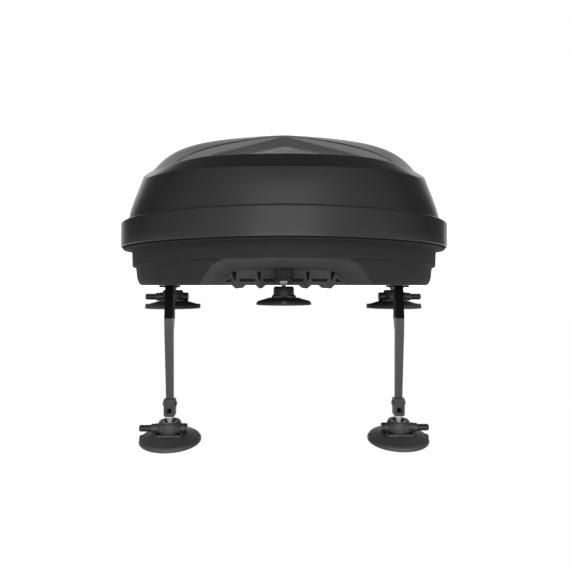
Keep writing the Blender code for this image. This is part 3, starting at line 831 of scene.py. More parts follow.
def rounded(keys: Sequence[Row], radii: Sequence[float], steps: int = 4) -> list[Row]:
    """Round the corners of a wall given by key rows.

    Args:
        keys: Key rows from one end of the wall to the other.
        radii: Rounding at each key row; none at the ends.
        steps: Rows laid into each rounding.

    Returns:
        All rows of the wall.
    """
    reach = 0.48
    rows = [keys[0]]
    for n in range(1, len(keys) - 1):
        if not radii[n]:
            rows.append(keys[n])
            continue
        bundle: list[Row] = [[] for _ in range(steps + 1)]
        for before, here, after in zip(keys[n - 1], keys[n], keys[n + 1]):
            back = before - here
            ahead = after - here
            start = here + back.normalized() * min(radii[n], back.length * reach)
            end = here + ahead.normalized() * min(radii[n], ahead.length * reach)
            for k in range(steps + 1):
                bundle[k].append(bent(start, here, end, k / steps))
        rows.extend(bundle)
    rows.append(keys[-1])
    return rows


@dataclass(frozen=True)
class Scoop:
    """The V-shaped scoop in the lid's nose panel: glossy wedges, grained facets and a triangle.

    Its corners are plan points of the right half, mirrored on the middle plane. Its riser carries a
    painted highlight under a thin painted shade line.
    """

    widest_y: float
    top: Height
    apex: Span = (0.0, -0.170)
    root: Span = (0.250, -0.285)
    split: Span = (0.166, -0.352)
    point: Span = (0.0, -0.310)
    base: Span = (0.085, -0.410)
    nose: Span = (0.0, -0.430)
    point_rise: float = 0.0456
    ring: Span = (0.336, 0.370)
    power: float = 1.75
    step: Span = (0.0030, 0.0022)
    # Width of the strip at the riser's top that keeps the dark shell: a painted shade line above the
    # painted highlight.
    shade: float = 0.0006
    fade: Span = (0.92, 0.08)
    riser_lines: Span = (-0.0015, 0.0055)
    fold: float = 0.0012

    @staticmethod
    def ahead(x: float, y: float, start: Span, end: Span) -> float:
        """Give how far a point lies in front of a line that is mirrored on the middle."""
        along = (Vector(end) - Vector(start)).normalized()
        return (abs(x) - start[0]) * along.y - (y - start[1]) * along.x

    def level(self, x: float, y: float) -> float:
        """Give a point's place between the middle, 0, and the upper crease, 1."""
        forward = max(0.0, self.widest_y - y) / self.ring[1]
        return (abs(x) / self.ring[0]) ** self.power + forward ** self.power

    def patch(self, x: float, y: float) -> float:
        """Give the height of the flat patch that a point lies on.

        Args:
            x: Place across the box.
            y: Place along the box.

        Returns:
            The height.
        """
        sunk = (*self.point, self.top(*self.nose) + self.point_rise)
        spots = (self.apex, self.root, self.split, self.base, self.nose)
        apex, root, split, base, nose = ((*spot, self.top(*spot)) for spot in spots)
        if self.ahead(x, y, self.apex, self.split) <= 0.0:
            corners = (apex, root, split)
        elif self.ahead(x, y, self.point, self.base) > 0.0:
            corners = (sunk, base, nose)
        elif self.ahead(x, y, self.point, self.split) > 0.0:
            corners = (split, base, sunk)
        else:
            corners = (apex, split, sunk)
        first, second, third = (Vector(corner) for corner in corners)
        normal = (second - first).cross(third - first)
        return first.z - (normal.x * (abs(x) - first.x) + normal.y * (y - first.y)) / normal.z

    def depth(self, x: float, y: float) -> float:
        """Give how far the scoop lies below the roof's own height.

        Args:
            x: Place across the box.
            y: Place along the box.

        Returns:
            The drop.
        """
        past = self.ahead(x, y, self.apex, self.root)
        if past <= 0.0:
            return 0.0
        run, sink = self.step
        edge, width = self.fade
        kept = 1.0 - smooth((self.level(x, y) - edge) / width)
        return kept * min(1.0, past / run) * (self.top(x, y) - self.patch(x, y) + sink)

    def finish(self, x: float, y: float) -> LidFace:
        """Tell which finish a point has.

        Args:
            x: Place across the box.
            y: Place along the box.

        Returns:
            The finish.
        """
        past = self.ahead(x, y, self.apex, self.root)
        outside = self.level(x, y) > 1.0 or self.ahead(x, y, self.point, self.base) > 0.0
        # The riser's top strip keeps the dark shell as a painted shade line; the rest of the riser
        # takes the painted highlight.
        if outside or past < self.shade:
            return LidFace.SHELL
        return LidFace.PAINTED_HIGHLIGHT if past < self.step[0] else LidFace.FACET

    def score(self, bm: Mesh, is_top: Callable[[Face], bool]) -> None:
        """Cut the scoop's lines into the top.

        Args:
            bm: The mesh.
            is_top: Tells whether a face belongs to the top.
        """
        def cut(chosen: list, spot: Corner, across: Corner) -> None:
            """Split some faces along a plane."""
            geom = {g for f in chosen for g in (f, *f.edges, *f.verts)}
            bmesh.ops.bisect_plane(bm, geom=list(geom), dist=WELD, plane_co=spot, plane_no=across)

        marks = bm.faces.layers.int.new("top")
        faces = [f for f in bm.faces if is_top(f)]
        for face in faces:
            face[marks] = 1
        cut(faces, (0.0, 0.0, 0.0), (1.0, 0.0, 0.0))
        before, beyond = self.riser_lines
        # These cuts also bound the riser's painted highlight and the painted shade line above it.
        riser = (before, 0.0, self.shade, self.step[0], beyond)
        folds = (-self.fold, 0.0, self.fold)
        lines = (
            (self.apex, self.root, riser), (self.apex, self.split, folds),
            (self.point, self.base, folds), (self.point, self.split, (0.0,)))
        cuts = [(start, end, shift) for start, end, shifts in lines for shift in shifts]
        for _, side in SIDES:
            for start, end, shift in cuts:
                along = (Vector(end) - Vector(start)).normalized()
                normal = Vector((along.y * side, -along.x, 0.0))
                spot = Vector((start[0] * side, start[1], 0.0)) + normal * shift
                chosen = [f for f in bm.faces if f[marks] and f.calc_center_median().x * side > 0.0]
                cut(chosen, tuple(spot), tuple(normal))


@dataclass(frozen=True)
class Lid:
    """The lid with its overlapping skirt, creased top and scoop."""

    plan: Plan
    skin: float = 0.004
    band_low: float = 0.146
    band_top: float = 0.206
    ledge: Span = (0.0135, 0.004)
    ledge_under: float = 0.0077
    brim_rounds: tuple[float, ...] = (0.0, 0.003, 0.0012, 0.0012, 0.007, 0.0)
    wall_rounds: tuple[float, ...] = (0.0022, 0.040, 0.0024, 0.0024)
    belly: Span = (0.007, 0.45)
    crease_low: Span = (0.039, 0.017)
    crease_high: Span = (0.075, 0.004)
    crease_share: Span = (0.728, 0.216)
    crease_reach: float = 0.93
    crease_skin: float = 0.7
    crest: Span = (-0.100, 0.4359)
    crest_round: float = 0.050
    nose_fall: Span = (0.1164, 0.320)
    tail_fall: Span = (0.080, 0.540)
    side_falls: Span = (0.036, 0.057)
    corner_fall: float = 0.355
    middle_y: float = -0.020
    shares: int = 60
    roof_from: float = 0.25
    roof_near: float = 0.0066

    def top(self, x: float, y: float) -> float:
        """Give the height of the roof before its scoop.

        Args:
            x: Place across the box.
            y: Place along the box.

        Returns:
            The height.
        """
        crest_y, crest_z = self.crest
        ahead = max(0.0, crest_y - y)
        across = abs(x) / (self.plan.half_width - self.crease_high[0])
        drop, run = self.nose_fall
        bend = self.crest_round
        rise = math.hypot(ahead, bend) - bend
        fall = drop * rise / (math.hypot(run, bend) - bend)
        fall += self.tail_fall[0] * (max(0.0, y - crest_y) / self.tail_fall[1]) ** 4
        fall += self.side_falls[0] * across ** 1.5 + self.side_falls[1] * across ** 7
        return crest_z - fall - self.corner_fall * ahead * across ** 4

    def crease(self, x: float, y: float) -> float:
        """Give the height of the lower crease.

        Args:
            x: Place across the box.
            y: Place along the box.

        Returns:
            The height.
        """
        least, more = self.crease_share
        share = least + more * self.plan.sideways(x)
        reach = self.crease_reach
        return self.band_top + share * (self.top(x * reach, y * reach) - self.band_top)

    def wall(self, depth: float) -> list[Row]:
        """Give the key rows of the wall above the ledge.

        Args:
            depth: Distance inside the outer skin.

        Returns:
            The rows.
        """
        row = self.plan.row
        ledge, spread = self.ledge
        low, low_spread = self.crease_low
        high, high_spread = self.crease_high
        belly, rise = self.belly

        def middle(x: float, y: float) -> float:
            """Give the height of the row between the ledge and the crease."""
            return (1.0 - rise) * self.band_top + rise * self.crease(x, y)

        thick = self.crease_skin * depth
        return [
            row(ledge + depth, self.band_top - depth, spread),
            row(ledge + belly + depth, middle, spread),
            row(low + depth, lambda x, y: self.crease(x, y) - thick, low_spread),
            row(high + depth, lambda x, y: self.top(x, y) - depth, high_spread),
        ]

    def cap(self, edge: Row, depth: float) -> list[Row]:
        """Give rows that close the top towards its middle.

        Args:
            edge: The top's outermost row.
            depth: Distance inside the outer skin.

        Returns:
            The rows.
        """
        rows = []
        for k in range(1, self.shares):
            share = 1.0 - k / self.shares
            spots = [(p.x * share, self.middle_y + (p.y - self.middle_y) * share) for p in edge]
            rows.append([Vector((x, y, self.top(x, y) - depth)) for x, y in spots])
        return rows

    def skin_rows(self, depth: float) -> list[Row]:
        """Give all rows of one skin from the ledge to the top's middle.

        Args:
            depth: Distance inside the outer skin.

        Returns:
            The rows.
        """
        keys = self.wall(depth)
        cap = self.cap(keys[-1], depth)
        return rounded(keys + cap[:1], [*self.wall_rounds, 0.0], 5)[:-1] + cap

    def mesh(self) -> Mesh:
        """Draw the lid's two skins as one closed shell, with the scoop pressed in."""
        row = self.plan.row
        under = self.band_top - self.ledge_under
        ledge, spread = self.ledge
        skin = self.skin
        keys = [
            row(ledge + skin, under, spread), row(skin, under), row(skin, self.band_low),
            row(0.0, self.band_low), row(0.0, self.band_top), row(ledge, self.band_top, spread)]
        brim = rounded(keys, self.brim_rounds)
        rows = list(reversed(self.skin_rows(skin))) + brim + self.skin_rows(0.0)[1:]
        bm = skinned(rows)
        scoop = Scoop(self.plan.widest_y, self.top)
        scoop.score(bm, self.is_top)
        for vert in bm.verts:
            if vert.co.z > self.roof_from:
                vert.co.z -= scoop.depth(vert.co.x, vert.co.y)
        bm.normal_update()
        for face in bm.faces:
            spot = face.calc_center_median()
            if spot.z > self.roof_from and spot.y < 0.0 and face.normal.z > 0.0:
                face.material_index = scoop.finish(spot.x, spot.y)
        return bm

    def is_top(self, face: Face) -> bool:
        """Tell whether a face belongs to the front of either skin's top.

        Args:
            face: The face.

        Returns:
            Whether it does.
        """
        spots = [v.co for v in face.verts]
        if any(p.z < self.roof_from or p.y > 0.0 for p in spots):
            return False
        return all(abs(p.z - self.top(p.x, p.y)) < self.roof_near for p in spots)

    def build(self, bench: Bench) -> None:
        """Make the lid.

        Args:
            bench: Where pieces are dressed.
        """
        # The riser's finish is a painted highlight.
        bench.piece(
            "lid_shell", self.mesh(), SHELL, "lid", ["lid"], sharp=50.0,
            more=(GRAINED_SHELL, RISER_PAINTED_HIGHLIGHT))


@dataclass(frozen=True)
class Tray:
    """The tray with its lip, stepped wall, tunnel and floor ribs, and its seal."""

    plan: Plan
    floor: float = 0.054
    skin: float = 0.004
    lip: Span = (0.141, 0.144)
    step_z: float = 0.099
    step_lift: Corner = (0.009, -0.200, 0.260)
    rim_top: float = 0.190
    seal_top: float = 0.198
    tunnel_half: float = 0.140
    tunnel_flare: float = 0.045
    tunnel_round: float = 0.026
    roof: float = 0.097
    nose_roof: float = 0.109
    ramp: Span = (0.024, 0.075)
    ramp_back: float = 0.014
    ramp_bend: Span = (0.0055, 0.0125)
    rib_pitch: float = 0.069
    rib_half: float = 0.014
    rib_tip: float = 0.10
    rib_low: float = 0.044
    rib_end: float = 0.420
    groove_half: float = 0.0042
    dent_size: Span = (0.0085, 0.0055)
    dent_span: Span = (0.0930, 0.0660)

    def step(self, x: float, y: float) -> float:
        """Give the height of the styling step, which lifts towards the nose."""
        lift, start, run = self.step_lift
        return self.step_z + lift * smooth((start - y) / run)

    def slope(self) -> float:
        """Give how steeply the ramp falls towards the tail."""
        return (self.roof - self.floor + 0.002) / (self.ramp[1] - self.ramp[0])

    def ramp_y(self, z: float) -> float:
        """Give the station where the ramp has a height."""
        return self.ramp[0] + (self.roof - z) / self.slope()

    def rows(self, table: Sequence[tuple[float, float | Height, float]], steps: int) -> list[Row]:
        """Give the rows of a wall around the box.

        Args:
            table: Inset, height and rounding of each key row.
            steps: Rows laid into each rounding.

        Returns:
            The rows.
        """
        keys = [self.plan.row(inset, height) for inset, height, _ in table]
        return rounded(keys, [radius for _, _, radius in table], steps)

    def hull(self) -> Mesh:
        """Draw the tray's outside as a solid, from the floor to the rim."""
        floor = self.floor
        low, high = self.lip
        rim = self.rim_top
        return skinned(self.rows([
            (0.056, floor, 0.0), (0.048, floor, 0.005), (0.0425, floor + 0.006, 0.006),
            (0.039, floor + 0.017, 0.008), (0.0365, lambda x, y: self.step(x, y) - 0.003, 0.002),
            (0.028, self.step, 0.002), (0.027, low - 0.002, 0.002), (0.006, low, 0.001),
            (0.006, high, 0.001), (0.010, high, 0.001), (0.010, rim, 0.001), (0.012, rim, 0.0),
        ], 3))

    def well(self) -> Mesh:
        """Draw the tray's inside as a solid."""
        floor = self.floor
        low, high = self.lip
        return skinned(self.rows([
            (0.058, floor + self.skin, 0.0), (0.050, floor + self.skin, 0.004),
            (0.0465, floor + 0.009, 0.006), (0.043, floor + 0.019, 0.008),
            (0.0405, lambda x, y: self.step(x, y) + 0.001, 0.002), (0.031, low + 0.001, 0.003),
            (0.014, high + 0.006, 0.003), (0.014, self.rim_top + 0.010, 0.0),
        ], 3))

    def seal(self) -> Mesh:
        """Draw the bulb seal that lies on the rim."""
        low = self.rim_top + GAP
        high = self.seal_top
        return skinned(self.rows([
            (0.012, low, 0.0), (0.0155, low, 0.001), (0.0155, high, 0.0034),
            (0.0085, high, 0.0034), (0.0085, low, 0.001), (0.012, low, 0.0),
        ], 4), capped=False)

    def tunnel(self, grow: float, back: float) -> Mesh:
        """Draw the space under the nose.

        Args:
            grow: Growth of its roof and sides.
            back: Growth of its ramp.

        Returns:
            The closed mesh.
        """
        low = self.floor - 0.010
        half = self.tunnel_half + grow
        wide = half + self.tunnel_flare
        first, last = self.ramp
        before, after = self.ramp_bend
        stations = [
            (-0.560, self.nose_roof + grow, half), (-0.300, self.roof + 0.005 + grow, half),
            (-0.060, self.roof + grow, half)]
        for share in (0.0, 0.25, 0.5, 0.75, 1.0):
            y = first - before * (1.0 - share) ** 2 + after * share ** 2
            stations.append((y + back, self.roof + grow - self.slope() * after * share ** 2, half))
        stations.append((last + back, self.floor - 0.002, wide - 0.001))
        sections = []
        for y, z, h in stations:
            foot = Vector((wide, low))
            corner = Vector((h, z))
            bend = min(self.tunnel_round, (corner - foot).length * 0.8)
            start = corner + (foot - corner).normalized() * bend
            end = corner - Vector((bend, 0.0))
            curve = [foot] + [bent(start, corner, end, k / 6.0) for k in range(7)]
            right = [(p.x, y, p.y) for p in curve]
            sections.append(right + [(-x, y, z) for x, y, z in reversed(right)])
        return drawn_out(sections)

    def groove(self) -> Mesh:
        """Draw the groove along the foot of the ramp, turned down at both ends."""
        half = [
            (0.0, 0.0685), (0.150, 0.0685), (0.160, 0.0675), (0.170, 0.0645), (0.178, 0.0600),
            (0.183, 0.0550)]
        sections = []
        for x, z in [(-x, z) for x, z in reversed(half[1:])] + half:
            y = self.ramp_y(z)
            near, far = y - 0.012, y + 0.0065
            low, high = z - self.groove_half, z + self.groove_half
            sections.append([(x, near, low), (x, far, low), (x, far, high), (x, near, high)])
        return drawn_out(sections)

    def rib(self, x: float) -> Mesh:
        """Draw one rib: it leaves the ramp and runs back under the floor.

        Args:
            x: Its place across the box.

        Returns:
            The closed mesh.
        """
        first, last = self.ramp
        root = self.floor + 0.002
        start = self.roof - self.slope() * 0.012
        half = self.rib_half
        stations = (
            (first + 0.012, start + 0.0026, start - 0.001, half * 0.5),
            (first + 0.020, start - 0.004, start - 0.012, half * 0.8),
            (last - 0.005, root + 0.003, self.rib_low + 0.0015, half),
            (last + 0.010, root, self.rib_low, half),
            (self.rib_end - 0.030, root, self.rib_low, half),
            (self.rib_end, root, self.floor - 0.001, half),
        )
        return drawn_out([
            [(x - h, y, high), (x + h, y, high), (x + h * self.rib_tip, y, low),
             (x - h * self.rib_tip, y, low)]
            for y, high, low, h in stations])

    def dent(self, x: float) -> Mesh:
        """Draw the tear-shaped dent above one rib, widest at the top of the ramp.

        Args:
            x: Its place across the box.

        Returns:
            The closed mesh.
        """
        half, deep = self.dent_size
        top, tip = self.dent_span
        stations = (
            (top, half * 0.7, 0.0), (top - 0.006, half, deep), (tip, half * 0.08, deep * 0.3))
        sections = []
        for z, h, sunk in stations:
            y = self.ramp_y(z)
            sections.append([
                (x - h, y - 0.02, z), (x + h, y - 0.02, z), (x + h * 0.6, y + sunk, z),
                (x - h * 0.6, y + sunk, z)])
        return drawn_out(sections)

    def dented(self, spot: Vector) -> bool:
        """Tell whether a point lies in one of the dents.

        Args:
            spot: The point.

        Returns:
            Whether it does.
        """
        top, tip = self.dent_span
        half, deep = self.dent_size
        if not tip < spot.z < top + 0.001:
            return False
        aside = min(abs(abs(spot.x) - k * self.rib_pitch) for k in (1, 2))
        return 0.0004 < spot.y - self.ramp_y(spot.z) < deep + 0.001 and aside < half

    def on_ramp(self, spot: Vector, normal: Vector) -> bool:
        """Tell whether a face lies on the ramp that ends the tunnel.

        Args:
            spot: Its middle.
            normal: Its direction.

        Returns:
            Whether it does.
        """
        first, last = self.ramp
        wide = self.tunnel_half + self.tunnel_flare
        inside = first - 0.010 < spot.y < last + 0.010 and abs(spot.x) < wide
        level = self.floor - 0.002 < spot.z < self.roof + 0.002
        return inside and level and normal.y < -0.25 and normal.z < -0.2

    def finish(self, spot: Vector, normal: Vector) -> TrayFace:
        """Tell which finish a face has.

        Args:
            spot: Its middle.
            normal: Its direction.

        Returns:
            The finish.
        """
        # The dents take painted shade.
        if self.dented(spot):
            return TrayFace.PAINTED_SHADE_RECESS
        # The ramp takes painted light.
        if self.on_ramp(spot, normal):
            return TrayFace.PAINTED_LIGHT_RAMP
        # Downward faces under the tunnel's roof take painted shade.
        if spot.z > self.roof - 0.004 and spot.y < self.ramp[0] and normal.z < -0.9:
            return TrayFace.PAINTED_SHADE_ROOF
        return TrayFace.SHELL

    def mesh(self) -> Mesh:
        """Draw the tray, with its recesses, ramp and tunnel roof told apart: painted shade in the
        recesses and under the roof, painted light on the ramp.
        """
        bm = worked(self.hull(), Join.CUT, self.tunnel(0.0, 0.0))
        hollow = worked(self.well(), Join.CUT, self.tunnel(self.skin, self.ramp_back))
        bm = worked(bm, Join.CUT, hollow, self.groove())
        for k in (-2, -1, 1, 2):
            bm = worked(bm, Join.ADD, self.rib(k * self.rib_pitch))
            bm = worked(bm, Join.CUT, self.dent(k * self.rib_pitch))
        unfolded(bm)
        for face in bm.faces:
            face.material_index = self.finish(face.calc_center_median(), face.normal)
        return bm

    def build(self, bench: Bench) -> None:
        """Make the tray and its seal.

        Args:
            bench: Where pieces are dressed.
        """
        # The extra finishes paint shade into the dents and under the tunnel's roof, and light onto
        # the ramp.
        tray = bench.piece(
            "tray_shell", self.mesh(), TRAY_SHELL, "box", ["tray"], sharp=40.0,
            more=(TRAY_RECESS_PAINTED_SHADE, TRAY_RAMP_PAINTED_LIGHT, TRAY_ROOF_PAINTED_SHADE))
        tray.modifiers.new("face_normals", "WEIGHTED_NORMAL").keep_sharp = True
        bench.piece("rim_bulb_seal", self.seal(), SEAL_RUBBER, "box", ["rim_seal"])


@dataclass(frozen=True)
class CupSizes:
    """Sizes that all vacuum cups share; heights are above the bearing face."""

    pad: float = 0.076
    pad_top: float = 0.020
    hub: float = 0.0285
    hub_top: float = 0.051
    ball_z: float = 0.040
    ball: float = 0.009
    mouth: float = 0.014
    neck: float = 0.005
    flare: float = 0.0103
    flange: float = 0.033
    screw_in: float = 0.0075
    barrel_z: float = 0.032
    barrel: float = 0.012
    barrel_half: float = 0.036
    collar_end: float = 0.046
    plunger: float = 0.0082
    plunger_in: float = 0.038
    plunger_out: float = 0.075
    cap: float = 0.006
    stud: float = 0.005


@dataclass(frozen=True)
class VacuumCup:
    """One vacuum cup with its pump and ball stud."""

    name: str
    place: Matrix
    seat: float
    shank: float
    sizes: CupSizes = field(default_factory=CupSizes)

    def along_pump(self, profile: Sequence[Span]) -> Mesh:
        """Spin (radius, distance) points about the pump's axis.

        Args:
            profile: The points.

        Returns:
            The closed mesh.
        """
        bm = spun(profile, 48)
        lift = Matrix.Translation((0.0, 0.0, self.sizes.barrel_z))
        turn = lift @ Matrix.Rotation(-QUARTER, 4, "Y")
        bmesh.ops.transform(bm, matrix=turn, verts=bm.verts)
        return bm

    def pad(self) -> Mesh:
        """Draw the rubber pad with its lip and two lift tabs."""
        r = self.sizes.pad
        bm = spun([
            (0.0, 0.0), (0.0262, 0.0), (0.0272, 0.0008), (0.030, 0.003), (r - 0.018, 0.003),
            (r - 0.0142, 0.0004), (r - 0.0135, 0.0), (r - 0.0012, 0.0), (r, 0.0014), (r, 0.0040),
            (r - 0.0008, 0.0056), (r - 0.0018, 0.0074), (r - 0.0030, 0.0092), (r - 0.0046, 0.0106),
            (r - 0.0070, 0.0117), (r - 0.0100, 0.0125), (0.0610, 0.0139), (0.0520, 0.0164),
            (0.0445, 0.0188), (0.0405, 0.0198), (0.0385, 0.0200), (0.0, 0.0200),
        ], 128)
        for _, side in SIDES:
            low, high = sorted((side * (r - 0.013), side * (r - 0.0006)))
            tab = brick((low, -0.0075, 0.0040), (high, 0.0075, 0.0125), 0.0012)
            grip = brick((low + 0.0025, -0.0050, 0.0117), (high - 0.0025, 0.0050, 0.0140), 0.0005)
            bm = worked(worked(bm, Join.ADD, tab), Join.CUT, grip)
        return bm

    def hub(self) -> Mesh:
        """Draw the hub with its ball mouth, screw flange and pump barrel."""
        s = self.sizes
        low = s.pad_top + GAP
        top = s.hub_top
        cup = s.ball + 0.0007
        rim = math.asin(0.46)
        arc = [rim - k * (rim + math.pi * 0.46) / 10 for k in range(11)]
        bm = spun([
            (0.0, low), (s.hub, low), (s.hub, top - 0.006), (s.hub - 0.0006, top - 0.0045),
            (s.hub - 0.0030, top - 0.0004), (s.hub - 0.0040, top), (s.mouth + 0.0012, top),
            (s.mouth, top - 0.0006),
            *((cup * math.cos(a), s.ball_z + cup * math.sin(a)) for a in arc),
            (0.0, s.ball_z - cup)], 80)
        flange = plate(
            (-s.flange, -s.flange, low + 0.0002), (s.flange, s.flange, low + 0.0056), 0.010, 5)
        rims = [e for e in flange.edges if min(v.co.z for v in e.verts) > low + 0.005]
        round_edges(flange, rims, 0.0008)
        neck = s.barrel - 0.001
        inside = s.plunger + 0.0005
        pump = self.along_pump([
            (0.0, -s.barrel_half), (s.barrel, -s.barrel_half), (s.barrel, s.barrel_half - 0.001),
            (s.barrel - 0.0006, s.barrel_half), (neck, s.barrel_half), (neck, s.collar_end - 0.001),
            (neck - 0.001, s.collar_end), (inside, s.collar_end), (inside, 0.014), (0.0, 0.014)])
        clear = s.mouth + 0.001
        core = spun([(0.0, 0.02), (clear, 0.02), (clear, 0.06), (0.0, 0.06)], 40)
        bm = worked(bm, Join.ADD, flange, worked(pump, Join.CUT, core))
        bore = bar((-0.08, 0.0, s.barrel_z), (-0.0146, 0.0, s.barrel_z), inside, 48)
        holes = [
            bar((x, y, low + 0.0022), (x, y, low + 0.02), 0.0042, 24) for x, y in self.screw_spots()]
        return worked(bm, Join.CUT, bore, *holes)

    def screw_spots(self) -> list[Span]:
        """Give where the flange's four screws sit."""
        out = self.sizes.flange - self.sizes.screw_in
        return [(x * out, y * out) for x in (-1.0, 1.0) for y in (-1.0, 1.0)]

    def screws(self) -> Mesh:
        """Draw the four socket screws that hold the hub on its pad."""
        base = self.sizes.pad_top + 0.0024
        heads = []
        for x, y in self.screw_spots():
            head = bar((x, y, base), (x, y, base + 0.0062), 0.0036, 24, 0.0004)
            socket = bar((x, y, base + 0.0044), (x, y, base + 0.009), 0.0018, 6)
            heads.append(worked(head, Join.CUT, socket))
        return gathered(heads)

    def plunger(self) -> Mesh:
        """Draw the pump's plunger with its ringed push end."""
        s = self.sizes
        r = s.plunger
        end = s.plunger_out
        return self.along_pump([
            (0.0, s.plunger_in), (r, s.plunger_in), (r, end - 0.0125), (r - 0.0006, end - 0.0121),
            (r - 0.0006, end - 0.0109), (r, end - 0.0105), (r, end - 0.0026),
            (r - 0.0005, end - 0.0012), (r - 0.0018, end), (r - 0.0036, end),
            (r - 0.0042, end - 0.0006), (0.0, end - 0.0006)])

    def end_cap(self) -> Mesh:
        """Draw the cap on the barrel's closed end."""
        s = self.sizes
        first = -s.barrel_half - GAP
        last = first - s.cap
        r = s.barrel
        return self.along_pump([
            (0.0, last), (r - 0.0050, last), (r - 0.0044, last + 0.0005), (r - 0.0038, last + 0.0005),
            (r - 0.0032, last), (r - 0.0015, last), (r - 0.0004, last + 0.0006), (r, last + 0.0017),
            (r, first), (0.0, first)])

    def stud_mesh(self) -> Mesh:
        """Draw the ball stud in place, its shank upwards."""
        s = self.sizes
        ball = self.place @ Vector((0.0, 0.0, s.ball_z))
        seat = self.seat - GAP - ball.z
        end = seat + self.shank
        count = 20
        top = math.asin(math.sqrt(s.ball ** 2 - s.neck ** 2) / s.ball)
        arc = [-QUARTER + (top + QUARTER) * k / count for k in range(1, count + 1)]
        bm = spun([
            (0.0, -s.ball), *((s.ball * math.cos(a), s.ball * math.sin(a)) for a in arc),
            (s.neck, max(s.ball, seat - 0.015)), (s.flare - 0.0004, seat - 0.0024),
            (s.flare, seat - 0.0018), (s.flare, seat - 0.0004), (s.flare - 0.0004, seat),
            (s.stud, seat), (s.stud, end - 0.0005), (s.stud - 0.0005, end), (0.0, end)], 48)
        bmesh.ops.translate(bm, vec=ball, verts=bm.verts)
        return bm

    def build(self, bench: Bench) -> None:
        """Make the cup's pieces.

        Args:
            bench: Where pieces are dressed.
        """
        name = self.name
        pieces = (
            ("rubber_pad_", self.pad(), RUBBER, "cup_", ["cup_pad_"], 0.0),
            ("ball_hub_", self.hub(), PLASTIC, "cup_", ["cup_hub_"], 0.0004),
            ("hub_screws_", self.screws(), NEAR_BLACK_FINISH, "cup_", [], 0.0),
            ("barrel_cap_", self.end_cap(), PUMP_PLASTIC, "cup_", ["pump_cap_"], 0.0),
            ("push_plunger_", self.plunger(), PUMP_PLASTIC, "plunger_", ["pump_plunger_"], 0.0),
        )
        for prefix, bm, finish, body, nodes, round_by in pieces:
            bmesh.ops.transform(bm, matrix=self.place, verts=bm.verts)
            bench.piece(
                prefix + name, bm, finish, body + name, [n + name for n in nodes], 35.0, round_by)
        bench.piece(
            "bright_stud_" + name, self.stud_mesh(), ZINC, "stud_" + name, ["ball_stud_" + name])


